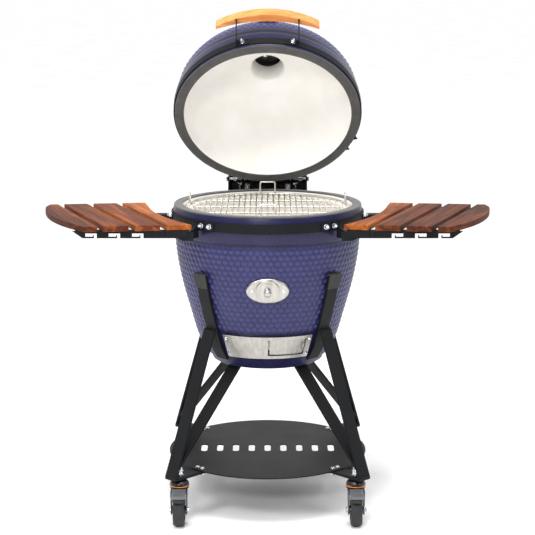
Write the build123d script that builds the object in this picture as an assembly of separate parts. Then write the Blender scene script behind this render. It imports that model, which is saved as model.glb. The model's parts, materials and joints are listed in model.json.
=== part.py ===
from build123d import *
import math
import os

# Kamado ceramic grill on a four-legged caster stand, with two folding side shelves.
# Millimetres, +Z up, the front faces -Y. The origin is on the floor, on the axis of the bowl.
# The lid is modelled closed and then turned about its hinge pin to its open rest position.
# Heights are drawn from a base line below the floor, and every part is lowered by GROUND when it is written out.

# ---------------------------------------------------------------- driving dimensions
GROUND = 13.5  # height of the floor above the base line
RIM_Z = 875.0  # top of the lower felt ring
RIM_R = 266.0  # outside of both ceramic rims
FELT_OUT_R = 265.0
FELT_IN_R = 239.0
FELT_T = 3.5
LID_GAP = 0.6  # between the two felt rings when the lid is closed
WALL = 26.0  # ceramic wall
COLLAR_H = 79.0  # smooth collar next to each rim, before the dimpled glaze

OPEN_ANGLE = 52.4  # how far the lid stands open at rest
PIN_Y = 281.0
PIN_Z = 903.0
PIN_R = 4.0
RUN = 0.05  # radial clearance of a running fit
GAP = 0.1  # clearance between parts that are clamped together

BAND_T = 3.0
BAND_H = 26.0
BAND_R = RIM_R + 0.2
BAND_OUT = BAND_R + BAND_T
LOWER_BAND_Z = 830.0
LID_BAND_Z = 9.0  # above the lid's rim plane

BOWL_FLOOR_Z = 428.0
BOWL_OUTLINE = [(252.5, 715), (237, 640), (214.5, 560), (188, 480)]  # radius, height stations
BOWL_FOOT_R = 160.0
BOWL_FOOT_Z = 440.0

LID_HEIGHT = 265.0  # height at which the dome curve would close
LID_SHOULDER = 60.0  # height where the dome curve starts
NECK_R = 58.0
NECK_TOP = 262.0
FLUE_R = 41.0
FLUE_MOUTH_R = 49.0
FLUE_MOUTH_H = 207.0

GRATE_R = 226.0
GRATE_Z = 866.2
WIRE_PITCH = 16.3

LEG_W = 42.0
LEG_T = 8.0
FOOT_R = 380.0  # outside of the legs at the foot, measured from the axis
FOOT_Z = 141.0  # underside of the foot bars
KNEE_Z = 540.0
CORNERS = {"fl": 225, "fr": 315, "rr": 45, "rl": 135}  # angle of each corner from +X

PLATE_R = 285.0
PLATE_T = 3.0
PLATE_Z = FOOT_Z + LEG_T + GAP

WHEEL_R = 45.0
AXLE_Z = GROUND + WHEEL_R
WHEEL_W = 32.0
AXLE_R = 6.0
TRAIL = 30.0  # the wheel trails this far behind its swivel
STEM_R = 346.0  # distance of the caster stems from the axis
PEDAL_PIVOT = (-47.0, 112.0)  # y from the stem, height

SHELF_TOP = 850.0
SLAT_T = 16.0
SLAT_W = 71.0  # across the slat, along X
SLAT_PITCH = 88.0
SLAT_SKEW = 0.392  # sideways run of a slat for each unit towards the back
FIRST_SLAT_X = 312.5  # centre of the inner slat at SLAT_MID_Y
SLAT_MID_Y = -45.0
END_SLOPE = -0.13
FOLD_X = 283.0
FOLD_Z = 822.0
ARM_FRONT_Y = -238.0
ARM_REAR_Y = 40.0


# ---------------------------------------------------------------- small helpers
def block(x0, x1, y0, y1, z0, z1):
    """A box given by its faces."""
    return Pos((x0 + x1) / 2, (y0 + y1) / 2, (z0 + z1) / 2) * Box(x1 - x0, y1 - y0, z1 - z0)


def rod(start, end, radius):
    """A round bar from start to end."""
    a = Vector(*start)
    b = Vector(*end)
    return Plane(origin=a, z_dir=b - a) * Cylinder(
        radius, (b - a).length, align=(Align.CENTER, Align.CENTER, Align.MIN)
    )


def ring(inner, outer, z0, z1):
    """A flat ring about Z."""
    return Pos(0, 0, (z0 + z1) / 2) * (Cylinder(outer, z1 - z0) - Cylinder(inner, z1 - z0 + 2))


def turned(points):
    """A polygon of (radius, height) points turned about Z."""
    return revolve(Plane.XZ * make_face(Polyline(*points, close=True)), Axis.Z)


def upright(points, y0, y1):
    """A polygon of (x, z) points, extruded from y0 to y1."""
    face = Plane((0, y1, 0), x_dir=(1, 0, 0), z_dir=(0, -1, 0)) * make_face(Polyline(*points, close=True))
    return extrude(face, amount=y1 - y0)


def sideways(points, x0, x1):
    """A polygon of (y, z) points, extruded from x0 to x1."""
    face = Plane((x0, 0, 0), x_dir=(0, 1, 0), z_dir=(1, 0, 0)) * make_face(Polyline(*points, close=True))
    return extrude(face, amount=x1 - x0)


def sector(inner, outer, z0, z1, start, end):
    """Part of a ring between two angles from +X, in degrees."""
    face = Plane.XZ * make_face(Polyline((inner, z0), (outer, z0), (outer, z1), (inner, z1), close=True))
    return Rot(0, 0, start) * revolve(face, Axis.Z, end - start)


def polar(radius, angle, z):
    """A point given by its distance from the axis and its angle from +X."""
    return (radius * math.cos(math.radians(angle)), radius * math.sin(math.radians(angle)), z)


def radial_rod(angle, r0, r1, z, radius):
    return rod(polar(r0, angle, z), polar(r1, angle, z), radius)


def group(solids):
    """Several separate solids in one node."""
    return Compound(children=[s for item in solids for s in item.solids()])


def mirrored(part):
    return mirror(part, Plane.YZ)


def opened(part):
    """Turns a part of the closed lid about the hinge pin to its open rest position."""
    axis = Axis((0, PIN_Y, PIN_Z), (1, 0, 0))
    return part.rotate(axis, -OPEN_ANGLE)


def hex_bar(radius, length):
    """A hexagonal bar standing on the XY plane."""
    return extrude(RegularPolygon(radius, 6), amount=length)


# ---------------------------------------------------------------- bowl and what stands in it
def bowl_radius(z):
    """Outside radius of the bowl below its collar, by straight lines between its stations."""
    stations = [(RIM_R - 5, RIM_Z - COLLAR_H)] + BOWL_OUTLINE + [(BOWL_FOOT_R, BOWL_FOOT_Z)]
    for (r1, z1), (r0, z0) in zip(stations, stations[1:]):
        if z0 <= z <= z1:
            return r0 + (r1 - r0) * (z - z0) / (z1 - z0)
    return BOWL_FOOT_R


def base_bowl():
    top = RIM_Z - FELT_T
    step_z = RIM_Z - COLLAR_H
    outside = Spline((RIM_R - 5, step_z), *BOWL_OUTLINE, (BOWL_FOOT_R, BOWL_FOOT_Z))
    inner = [(r - WALL, z) for r, z in BOWL_OUTLINE]
    inside = Spline((128, BOWL_FLOOR_Z + 24), *reversed(inner), (FELT_IN_R, step_z))
    edges = [
        Line((FELT_IN_R, step_z), (FELT_IN_R, top)),
        Line((FELT_IN_R, top), (RIM_R, top)),
        Line((RIM_R, top), (RIM_R, step_z + 3)),
        Line((RIM_R, step_z + 3), (RIM_R - 5, step_z)),
        outside,
        Line((BOWL_FOOT_R, BOWL_FOOT_Z), (BOWL_FOOT_R - 18, BOWL_FLOOR_Z)),
        Line((BOWL_FOOT_R - 18, BOWL_FLOOR_Z), (0, BOWL_FLOOR_Z)),
        Line((0, BOWL_FLOOR_Z), (0, BOWL_FLOOR_Z + 24)),
        Line((0, BOWL_FLOOR_Z + 24), (128, BOWL_FLOOR_Z + 24)),
        inside,
    ]
    shell = revolve(Plane.XZ * make_face(edges), Axis.Z)
    shell -= vent_band(VENT_LOW - 0.5, VENT_HIGH + 0.5, -GAP, 40, 270 - VENT_HALF - 0.3, 270 + VENT_HALF + 0.3)
    shell -= block(-80, 80, -240, -120, 482, 518)
    shell -= rod((0, -270, 670), (0, -190, 670), 14)
    return shell


def base_gasket():
    return ring(FELT_IN_R, FELT_OUT_R, RIM_Z - FELT_T + 0.05, RIM_Z)


def fire_box():
    floor = BOWL_FLOOR_Z + 24 + GAP
    outside = [(98, floor), (118, floor), (148, 492), (178, 560), (201, 640), (216, 740)]
    inside = [(194, 740), (166, 569), (162, 560), (142, 560), (120, 492)]
    pot = turned(outside + inside)
    return pot - block(-58, 58, -240, 0, 474, 528)


def charcoal_grate():
    disc = Pos(0, 0, 564.2) * Cylinder(158, 8)
    for index in range(-5, 6):
        half = math.sqrt(140**2 - (index * 22) ** 2)
        disc -= block(index * 22 - 6, index * 22 + 6, -half, half, 555, 575)
    return disc


def fire_ring():
    return turned([(205, 740.2), (221, 740.2), (233, 862), (210, 862)])


def cooking_grate():
    """Round wire grate: a rim, parallel wires, three cross wires below them and four lifting loops."""
    wires = []
    count = int(GRATE_R / WIRE_PITCH)
    for index in range(-count, count + 1):
        x = index * WIRE_PITCH
        half = math.sqrt(GRATE_R**2 - x**2)
        wires.append(rod((x, -half, GRATE_Z), (x, half, GRATE_Z), 2.2))
    for y in (-110, 0, 110):
        half = math.sqrt(203**2 - y**2)
        wires.append(rod((-half, y, GRATE_Z - 3.6), (half, y, GRATE_Z - 3.6), 2.2))
    for angle in (0, 90, 180, 270):
        wires.append(Rot(0, 0, angle) * grate_loop())
    return Pos(0, 0, GRATE_Z) * Torus(GRATE_R, 3.5) + wires


def grate_loop():
    """An upright wire loop by which the grate is lifted."""
    x = GRATE_R - 6
    half = 22.0
    top = GRATE_Z + 36
    posts = rod((x, -half, GRATE_Z - 1), (x, -half, top), 2.4) + rod((x, half, GRATE_Z - 1), (x, half, top), 2.4)
    bar = rod((x, -half, top), (x, half, top), 2.4)
    corners = Pos(x, -half, top) * Sphere(2.4) + Pos(x, half, top) * Sphere(2.4)
    bridge = rod((x, -half, GRATE_Z), (x, half, GRATE_Z), 2.4)
    tie = rod((x - 2, -half, GRATE_Z), (x + 6, -half, GRATE_Z), 2.4) + rod(
        (x - 2, half, GRATE_Z), (x + 6, half, GRATE_Z), 2.4
    )
    return posts + bar + corners + bridge + tie


# ---------------------------------------------------------------- lower band and hinge
FRONT_BOLT_ANGLES = [270 - 41, 270 - 35, 270 + 35, 270 + 41]
HINGE_BOLT_ANGLES = [70, 110]
SHELF_BOLT_ANGLES = [-3, 183]


def band_bolt_holes(angles, z, radius):
    return [radial_rod(a, RIM_R + 0.05, RIM_R + 30, z, radius) for a in angles]


def lower_band():
    z0 = LOWER_BAND_Z
    z1 = z0 + BAND_H
    rear = sector(BAND_R, BAND_OUT, z0, z1, 270 + 31, 270 + 329)
    front = sector(BAND_OUT + GAP, BAND_OUT + GAP + BAND_T, z0, z1, 270 - 44, 270 + 44)
    for hole in band_bolt_holes(FRONT_BOLT_ANGLES + HINGE_BOLT_ANGLES + SHELF_BOLT_ANGLES, z0 + 13, 3.3):
        rear -= hole
        front -= hole
    return group([rear, front])


def band_bolt(angle, z, head_r):
    """A bolt through the band: shank, domed nut and a locking nut beside it."""
    shank = radial_rod(angle, RIM_R + 0.1, head_r + 1, z, 3.2)
    head = radial_rod(angle, head_r, head_r + 6, z, 6.2)
    tip = radial_rod(angle, head_r + 6, head_r + 10, z, 4.2)
    return shank + head + tip


def bowl_fasteners():
    """Every bolt and screw on the bowl: band bolts, the hinge's stop bolts and the front screws."""
    return group([band_bolts(), stop_bolts(), front_screws()])


def band_bolts():
    z = LOWER_BAND_Z + BAND_H / 2
    bracket_face = BAND_OUT + 2 * (GAP + BAND_T) + GAP
    side_face = BAND_OUT + GAP + BAND_T + GAP
    bolts = [band_bolt(a, z, bracket_face) for a in FRONT_BOLT_ANGLES]
    bolts += [band_bolt(a, z, side_face) for a in HINGE_BOLT_ANGLES + SHELF_BOLT_ANGLES]
    return group(bolts)


CHEEK_X = 114.0
CHEEK_T = 4.0
BACK_Y = 316.0


def hinge_base():
    """Curved plate on the lower band, two cheeks that carry the pin, and the plate behind the springs."""
    inner = BAND_OUT + GAP
    plate = sector(inner, inner + BAND_T, 829, 862, 64, 116)
    cheek = [(240, 829), (BACK_Y, 829), (BACK_Y, 912), (PIN_Y - 12, 912), (PIN_Y - 12, 888), (250, 862), (240, 862)]
    for side in (-1, 1):
        x0 = min(side * CHEEK_X, side * (CHEEK_X + CHEEK_T))
        solid = sideways(cheek, x0, x0 + CHEEK_T)
        plate += solid - Cylinder(inner + 1, 2000)
    back = block(-CHEEK_X - CHEEK_T, CHEEK_X + CHEEK_T, BACK_Y - 0.1, BACK_Y + 3, 836, 912)
    shelf = block(-CHEEK_X, CHEEK_X, 264, BACK_Y, 840, 843) - Cylinder(inner + 1, 2000)
    plate += back + shelf
    for angle in HINGE_BOLT_ANGLES:
        plate -= radial_rod(angle, RIM_R, RIM_R + 25, LOWER_BAND_Z + BAND_H / 2, 3.4)
        plate -= radial_rod(angle, inner + BAND_T + 0.05, RIM_R + 25, LOWER_BAND_Z + BAND_H / 2, 7)
    plate -= rod((-130, PIN_Y, PIN_Z), (130, PIN_Y, PIN_Z), PIN_R + RUN)
    return plate


def hinge_pin():
    half = CHEEK_X + CHEEK_T + 0.5
    pin = rod((-half - 4, PIN_Y, PIN_Z), (half + 4, PIN_Y, PIN_Z), PIN_R)
    for side in (-1, 1):
        pin += rod((side * half, PIN_Y, PIN_Z), (side * (half + 5), PIN_Y, PIN_Z), 7.5)
    return pin


SPRING_X = 61.0
SPRING_Y = 300.0
SPRING_LOW = 843.2
SPRING_TOP = 887.0


def hinge_springs():
    """Outer shape of the two tension springs behind the pin."""
    coils = [Pos(side * SPRING_X, SPRING_Y, 0) * ring(6, 9, SPRING_LOW, SPRING_TOP) for side in (-1, 1)]
    return group(coils)


def stop_bolts():
    """Two studs in the hinge base that set how far the lid swings."""
    studs = []
    for side in (-1, 1):
        shank = rod((side * 84, 298, 843.2), (side * 84, 298, 884), 4)
        nut = Pos(side * 84, 298, 843.2) * hex_bar(8, 7)
        cap = rod((side * 84, 298, 884), (side * 84, 298, 889), 6.5)
        studs.append(shank + nut + cap)
    return group(studs)


# ---------------------------------------------------------------- draft door and port
VENT_LOW = 466.0
VENT_HIGH = 533.0
VENT_HALF = 35.0  # half the frame's width as an angle
DOOR_T = 2.0


def vent_r(z, offset):
    """Radius of the straight-sided vent frame, which leans with the bowl."""
    low = bowl_radius(VENT_LOW) + 1.5
    high = bowl_radius(VENT_HIGH) + 1.5
    return low + (high - low) * (z - VENT_LOW) / (VENT_HIGH - VENT_LOW) + offset


def vent_band(z0, z1, in_off, out_off, start, end):
    points = [
        (vent_r(z0, in_off), z0),
        (vent_r(z0, out_off), z0),
        (vent_r(z1, out_off), z1),
        (vent_r(z1, in_off), z1),
    ]
    face = Plane.XZ * make_face(Polyline(*points, close=True))
    return Rot(0, 0, start) * revolve(face, Axis.Z, end - start)


def draft_frame():
    """Curved housing with a window behind, a track for the door and an opening in its right half."""
    frame = vent_band(VENT_LOW, VENT_HIGH, 0, 9.4, 270 - VENT_HALF, 270 + VENT_HALF)
    frame -= vent_band(VENT_LOW + 5, VENT_HIGH - 5, 2, 7.4, 270 - VENT_HALF + 4, 270 + VENT_HALF - 4)
    frame -= vent_band(480, 520, -2, 3, 270 - 21, 270 + 21)
    frame -= vent_band(VENT_LOW + 9, VENT_HIGH - 9, 7, 12, 270.2, 270 + VENT_HALF - 4.5)
    for hole in vent_screw_places():
        frame -= rod(hole[0], hole[1], 2.2)
    return frame


def vent_screw_places():
    places = []
    for angle in (270 - VENT_HALF + 2, 270 + VENT_HALF - 2):
        for z in (VENT_LOW + 12, VENT_HIGH - 12):
            r = vent_r(z, 0)
            places.append((polar(r - 0.8, angle, z), polar(r + 11, angle, z), polar(r + 13.4, angle, z)))
    return places


def draft_door():
    """Curved sliding door with a finger tab, behind the fixed panel's track."""
    door = vent_band(VENT_LOW + 5.6, VENT_HIGH - 5.6, 2.8, 5.2, 271.6, 270 + VENT_HALF - 4.4)
    tab = vent_band(490, 510, 5.1, 13, 270 + VENT_HALF - 7, 270 + VENT_HALF - 6)
    return door + tab


PORT_Z = 670.0
PORT_TILT = 9.0  # the oval plate leans with the bowl wall
PORT_Y = -(244.0 + 2.0)


def port_place(part):
    """Moves a part built on the XY plane to the front of the bowl, facing out."""
    return Plane((0, PORT_Y, PORT_Z), x_dir=(1, 0, 0), z_dir=(0, -1, -math.tan(math.radians(PORT_TILT)))) * part


def port_plate():
    plate = extrude(Ellipse(58, 35.5), amount=3.5)
    plate = plate - Pos(0, 0, -4) * Cylinder(13, 20)
    for x in (-43, 43):
        plate -= Pos(x, 0, -4) * Cylinder(2.1, 20)
    return port_place(plate)


def port_cover():
    """Round cover that turns over the probe port, with a knob."""
    disc = extrude(Circle(33), amount=2.5)
    disc += Pos(0, 0, 2.4) * Cylinder(11, 9, align=(Align.CENTER, Align.CENTER, Align.MIN))
    disc += Pos(0, 0, 14) * Sphere(9)
    disc += Pos(0, 0, -6) * Cylinder(12.9, 6.1, align=(Align.CENTER, Align.CENTER, Align.MIN))
    return port_place(Pos(0, 0, 3.9) * disc)


def front_screws():
    screws = []
    for start, face, tip in vent_screw_places():
        shank = rod(start, face, 2.0) - vent_band(VENT_LOW, VENT_HIGH, -4, 0.2, 270 - 40, 270 + 40)
        screws.append(shank + rod(face, tip, 4.2))
    for x in (-43, 43):
        shank = Pos(x, 0, 0.2) * Cylinder(2, 4, align=(Align.CENTER, Align.CENTER, Align.MIN))
        head = Pos(x, 0, 3.6) * Cylinder(4.2, 2.4, align=(Align.CENTER, Align.CENTER, Align.MIN))
        screws.append(port_place(shank + head))
    return group(screws)


# ---------------------------------------------------------------- lid
def dome_radius(h):
    share = (h - LID_SHOULDER) / (LID_HEIGHT - LID_SHOULDER)
    return 264.0 * (1 - share**1.8) ** 0.625


def inner_dome_radius(h):
    share = max(h - 45.0, 0) / (222.0 - 45.0)
    return FELT_IN_R * (1 - share**1.9) ** 0.56


def at_rim(part):
    """Lifts a lid part from its own rim plane to the closed height."""
    return Pos(0, 0, RIM_Z + LID_GAP) * part


def lid_dome():
    heights = [120, 165, 200, 225, 240]
    outer = [(dome_radius(h), h) for h in heights]
    inner = [(inner_dome_radius(h), h) for h in (90, 130, 165, 190)]
    edges = [
        Line((FELT_IN_R, FELT_T), (RIM_R, FELT_T)),
        Line((RIM_R, FELT_T), (RIM_R, COLLAR_H - 20)),
        Line((RIM_R, COLLAR_H - 20), (RIM_R - 4, COLLAR_H - 17)),
        Spline((RIM_R - 4, COLLAR_H - 17), *outer, (NECK_R + 14, 250)),
        Line((NECK_R + 14, 250), (NECK_R, NECK_TOP)),
        Line((NECK_R, NECK_TOP), (FLUE_R, NECK_TOP)),
        Line((FLUE_R, NECK_TOP), (FLUE_MOUTH_R, FLUE_MOUTH_H)),
        Spline((FLUE_MOUTH_R, FLUE_MOUTH_H), *reversed(inner), (FELT_IN_R, 45)),
        Line((FELT_IN_R, 45), (FELT_IN_R, FELT_T)),
    ]
    shell = revolve(Plane.XZ * make_face(edges), Axis.Z)
    shell -= thermometer_axis_rod(4.2, -60, 60)
    return opened(at_rim(shell))


def lid_gasket():
    return opened(at_rim(ring(FELT_IN_R, FELT_OUT_R, 0, FELT_T - 0.05)))


LID_BOLT_ANGLES = [270 - 15, 270 + 15, 22, 32, 76, 104]
LID_BAND_SPLIT = 27.0


def lid_band():
    z0 = LID_BAND_Z
    start = LID_BAND_SPLIT + 2
    band = sector(BAND_R, BAND_OUT, z0, z0 + BAND_H - 5, start, start + 356)
    for angle in LID_BOLT_ANGLES:
        band -= radial_rod(angle, RIM_R + 0.05, RIM_R + 30, z0 + 10.5, 3.3)
    return opened(at_rim(band))


HANDLE_X = 86.0
HANDLE_LOW = 64.0
HANDLE_H = 27.0
HANDLE_HALF = 143.0


def lid_bolts():
    z = LID_BAND_Z + 10.5
    on_plate = BAND_OUT + GAP + BAND_T + GAP
    bolts = [band_bolt(a, z, on_plate) for a in LID_BOLT_ANGLES if a in (255, 285, 76, 104)]
    bolts += [band_bolt(a, z, BAND_OUT + GAP) for a in LID_BOLT_ANGLES if a not in (255, 285, 76, 104)]
    return opened(at_rim(group(bolts)))


def handle_plan(low, high):
    """The handle's outline from above, extruded between two heights."""
    outer = ThreePointArc((-HANDLE_HALF, -280), (0, -322), (HANDLE_HALF, -280))
    inner = ThreePointArc((HANDLE_HALF, -270), (0, -298), (-HANDLE_HALF, -270))
    ends = [Line((HANDLE_HALF, -280), (HANDLE_HALF, -270)), Line((-HANDLE_HALF, -270), (-HANDLE_HALF, -280))]
    return Pos(0, 0, low) * extrude(make_face([outer, ends[0], inner, ends[1]]), amount=high - low)


def handle_grip():
    grip = handle_plan(HANDLE_LOW, HANDLE_LOW + HANDLE_H)
    grip = fillet(grip.edges().filter_by(Axis.Z).filter_by_position(Axis.Y, -281, -279), 7)
    for side in (-1, 1):
        grip -= block(side * HANDLE_X - 1.7, side * HANDLE_X + 1.7, -306, -280, HANDLE_LOW - 1, HANDLE_LOW + 18)
    return opened(at_rim(grip))


def handle_brackets():
    """Two upright plates bent from a foot that is bolted to the lid band."""
    inner = BAND_OUT + GAP
    z = LID_BAND_Z
    profile = [(-250, z), (-282, z), (-305, 58), (-305, 81), (-288, 81), (-264, 40), (-250, z + 21)]
    plates = []
    for side, start, end in ((-1, 251.5, 259), (1, 281, 288.5)):
        foot = sector(inner, inner + BAND_T, z, z + 21, start, end)
        web = sideways(profile, side * HANDLE_X - 1.5, side * HANDLE_X + 1.5) - Cylinder(inner + 0.5, 2000)
        plate = foot + web
        for angle in LID_BOLT_ANGLES[:2]:
            plate -= radial_rod(angle, RIM_R, RIM_R + 12, z + 10.5, 3.4)
        plates.append(plate)
    return opened(at_rim(group(plates)))


def hinge_lid_plate():
    """Curved plate on the lid band with two levers: the pin runs through them and the springs pull on them."""
    inner = BAND_OUT + GAP
    z = LID_BAND_Z
    plate = sector(inner, inner + BAND_T, z, z + 30, 66, 114)
    for angle in (76, 104):
        plate -= radial_rod(angle, RIM_R, RIM_R + 12, z + 10.5, 3.4)
    pin_h = PIN_Z - RIM_Z - LID_GAP
    for side in (-1, 1):
        for x0 in (side * 74 - 2.5, side * 48 - 2.5):
            outline = [(250, z), (PIN_Y + 6, z + 3), (PIN_Y + 11, pin_h), (PIN_Y, pin_h + 10), (250, z + 30)]
            lever = sideways(outline, x0, x0 + 5)
            plate += lever - Cylinder(inner + 0.5, 2000)
        arm = sideways(
            [(PIN_Y - 2, pin_h + 2), (PIN_Y + 4, pin_h - 6), (301, pin_h + 3.5), (303, pin_h + 10), (PIN_Y, pin_h + 10)],
            side * 61 - 15.4,
            side * 61 + 15.4,
        )
        plate += arm
        plate -= radial_rod(90 - side * 14, inner + BAND_T + GAP / 2, 296, z + 10.5, 6.6)
    plate -= rod((-130, PIN_Y, pin_h), (130, PIN_Y, pin_h), PIN_R + RUN)
    return opened(at_rim(plate))


def thermometer_axis_rod(radius, start, end):
    """A rod along the thermometer's axis, measured from the dome's surface outwards."""
    h = 150.0
    r = dome_radius(h)
    lean = math.radians(33)
    out = (0, -math.cos(lean), math.sin(lean))
    a = (0, -r + out[1] * start, h + out[2] * start)
    b = (0, -r + out[1] * end, h + out[2] * end)
    return rod(a, b, radius)


def thermometer():
    gauge = thermometer_axis_rod(30, 4, 16) + thermometer_axis_rod(4, -70, 5)
    return opened(at_rim(gauge))


def chimney_collar():
    """Cast base of the top vent, seated on the neck."""
    collar = turned([(FLUE_R + 1, NECK_TOP + GAP), (62, NECK_TOP + GAP), (60, 280), (FLUE_R + 1, 280)])
    pivot = Pos(51, 0, 279.5) * Cylinder(4, 14, align=(Align.CENTER, Align.CENTER, Align.MIN))
    return opened(at_rim(collar + pivot))


def vent_disc():
    """Slotted top disc that swings aside about its pivot."""
    disc = Pos(0, 0, 283.5) * Cylinder(58, 6) + Pos(0, 0, 289) * Cylinder(40, 6)
    for index in range(5):
        disc -= Rot(0, 0, 36 + index * 72) * (Pos(24, 0, 285) * Cylinder(7, 20))
    disc -= Pos(51, 0, 285) * Cylinder(4 + RUN, 30)
    disc += Pos(-50, 0, 294) * Cylinder(6, 18)
    return opened(at_rim(disc))


# ---------------------------------------------------------------- stand
def cradle_curve(offset):
    """Points (radius, height) along the bowl wall, moved out by offset."""
    return [(bowl_radius(z) + offset, z) for z in (702, 640, 590, KNEE_Z, 490, 452)]


def at_corners(part):
    return group([Rot(0, 0, angle) * part for angle in CORNERS.values()])


def cradle_straps():
    points = cradle_curve(4) + list(reversed(cradle_curve(4 + LEG_T)))
    strap = upright(points, -LEG_W / 2, LEG_W / 2)
    return at_corners(strap)


def cradle_pads():
    """Rubber caps between the straps' upper ends and the bowl."""
    low = bowl_radius(664) + 4.3 + LEG_T
    high = bowl_radius(702) + 4.3 + LEG_T
    skirt = [(low, 664), (low + 4, 664), (high + 4, 704), (high + 2, 706)]
    crown = [(high - 9, 706), (high - 9, 702.3), (high, 702.3)]
    return at_corners(upright(skirt + crown, -23, 23))


LEG_TOP = (bowl_radius(KNEE_Z + 6) + 4.3 + LEG_T, KNEE_Z + 6)
LEG_FOOT_Z = FOOT_Z + LEG_T + GAP


def leg_inner(z):
    """Radius of the inner face of the outer legs."""
    share = (LEG_TOP[1] - z) / (LEG_TOP[1] - LEG_FOOT_Z)
    return LEG_TOP[0] + (FOOT_R - 8.6 - LEG_TOP[0]) * share


def outer_legs():
    """Flat bars from the knee of each strap to the foot."""
    r0, z0 = LEG_TOP
    foot = LEG_FOOT_Z
    leg = upright([(r0, z0), (r0 + 8.3, z0 - 4), (FOOT_R, foot), (FOOT_R - 8.6, foot)], -LEG_W / 2, LEG_W / 2)
    return at_corners(leg)


def inner_braces():
    """Flat bars from the foot of each leg up to the foot ring of the bowl."""
    top = BOWL_FLOOR_Z - GAP
    points = [(120, top), (131.5, top), (leg_inner(188) - 0.3, 188), (leg_inner(170) - 0.3, 170)]
    brace = upright(points, -LEG_W / 2, LEG_W / 2)
    return at_corners(brace)


def foot_bars():
    """Flat bars that carry the caster stems and the round plate."""
    bar = block(214, FOOT_R, -LEG_W / 2, LEG_W / 2, FOOT_Z, FOOT_Z + LEG_T)
    bar -= Pos(STEM_R, 0, FOOT_Z) * Cylinder(6.3, 40)
    for y in (-9.5, 9.5):
        bar -= Pos(268, y, FOOT_Z) * Cylinder(3.3, 40)
    return at_corners(bar)


def lower_plate():
    plate = Pos(0, 0, PLATE_Z + PLATE_T / 2) * Cylinder(PLATE_R, PLATE_T)
    for index in range(-4, 5):
        slot = extrude(SlotOverall(66, 18, rotation=90), amount=20, both=True)
        plate -= Pos(index * 46, 0, PLATE_Z) * slot
    for angle in CORNERS.values():
        for y in (-9.5, 9.5):
            plate -= Rot(0, 0, angle) * (Pos(268, y, PLATE_Z) * Cylinder(3.3, 40))
    return plate


def stand_fasteners():
    """Two bolts and nuts at each corner of the plate, and the nut on each caster stem."""
    pieces = []
    top = PLATE_Z + PLATE_T
    for y in (-9.5, 9.5):
        bolt = rod((268, y, FOOT_Z - 7), (268, y, top + 0.2), 3.2) + rod((268, y, top + 0.1), (268, y, top + 4), 5.5)
        bolt += Pos(268, y, FOOT_Z - 5.2) * hex_bar(6, 5)
        pieces.append(bolt)
    nut = Pos(STEM_R, 0, FOOT_Z + LEG_T + GAP) * (hex_bar(10, 9) - Cylinder(6.1, 60))
    pieces.append(nut)
    return group([Rot(0, 0, a) * p for a in CORNERS.values() for p in pieces])


# ---------------------------------------------------------------- casters
def caster_places():
    return {name: polar(STEM_R, angle, 0) for name, angle in CORNERS.items()}


def caster_tops():
    """Fixed upper race of each caster with its threaded stem."""
    dome = turned([(0, 122.5), (27, 122.5), (27, 127), (24, 133), (17, 137.5), (12, 138.5), (12, 140.9), (0, 140.9)])
    stem = Cylinder(6, 35, align=(Align.CENTER, Align.CENTER, Align.MIN))
    kingpin = rod((0, 0, 112), (0, 0, 124), 5)
    top = dome + Pos(0, 0, 140) * stem + kingpin
    return group([Pos(*place) * top for place in caster_places().values()])


def caster_seals():
    """Coloured dust ring round each kingpin, below the fixed race."""
    seal = ring(15, 27.6, 119.7, 122.2)
    return group([Pos(*place) * seal for place in caster_places().values()])


def caster_fork(place):
    cheek = [(-TRAIL - 13, 52), (-TRAIL - 8, 46), (-TRAIL + 8, 46), (-TRAIL + 13, 52), (24, 108), (24, 115), (-34, 115),
             (-38, 118), (-54, 118), (-54, 107)]
    fork = block(-23, 23, -29.5, 24, 111, 115) + ring(0.001, 26.5, 114, 119.2)
    for side in (-1, 1):
        fork += sideways(cheek, min(side * 19.6, side * 22.6), max(side * 19.6, side * 22.6))
    fork -= rod((0, 0, 98), (0, 0, 130), 5 + RUN)
    fork -= rod((-40, -TRAIL, AXLE_Z), (40, -TRAIL, AXLE_Z), AXLE_R + 0.1)
    fork -= rod((-40, *PEDAL_PIVOT), (40, *PEDAL_PIVOT), 3 + RUN)
    return Pos(*place) * fork


def caster_axle(place):
    axle = rod((-24, -TRAIL, AXLE_Z), (24, -TRAIL, AXLE_Z), AXLE_R)
    axle += rod((-28, -TRAIL, AXLE_Z), (-22.8, -TRAIL, AXLE_Z), 9)
    axle += rod((22.8, -TRAIL, AXLE_Z), (29, -TRAIL, AXLE_Z), 9)
    return Pos(*place) * axle


def wheel_turned(points, place):
    """A (radius, x) outline turned about the axle."""
    face = Plane.XY * make_face(Polyline(*[(x, r) for r, x in points], close=True))
    return Pos(place[0], place[1] - TRAIL, AXLE_Z) * revolve(face, Axis.X)


def caster_tyre(place):
    half = WHEEL_W / 2
    tread = [(35, -half), (WHEEL_R - 3, -half), (WHEEL_R, -half + 5)]
    return wheel_turned(tread + [(r, -x) for r, x in reversed(tread)], place)


def caster_hub(place):
    half = WHEEL_W / 2
    rim = [(AXLE_R + RUN, -18.8), (12, -18.8), (13, -10), (28, -8), (31, -half), (34.95, -half)]
    return wheel_turned(rim + [(r, -x) for r, x in reversed(rim)], place)


def brake_pedal(place):
    """Foot lever over the wheel, pivoted between the fork cheeks."""
    plate = [(-31, 118), (-31, 113), (-76, 104.5), (-81, 105), (-82, 110)]
    pedal = sideways(plate, -19, 19)
    pedal += rod((-22.4, *PEDAL_PIVOT), (22.4, *PEDAL_PIVOT), 3)
    pedal -= rod((0, 0, 0), (0, 0, 200), 30)
    return Pos(*place) * pedal


# ---------------------------------------------------------------- side shelves (right side, then mirrored)
def slat_edge(x_mid, y):
    return x_mid + SLAT_SKEW * (y - SLAT_MID_Y)


def rear_line(x):
    return 157 + END_SLOPE * (x - 394)


def front_line(x):
    return -230 + END_SLOPE * (x - 220)


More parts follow.
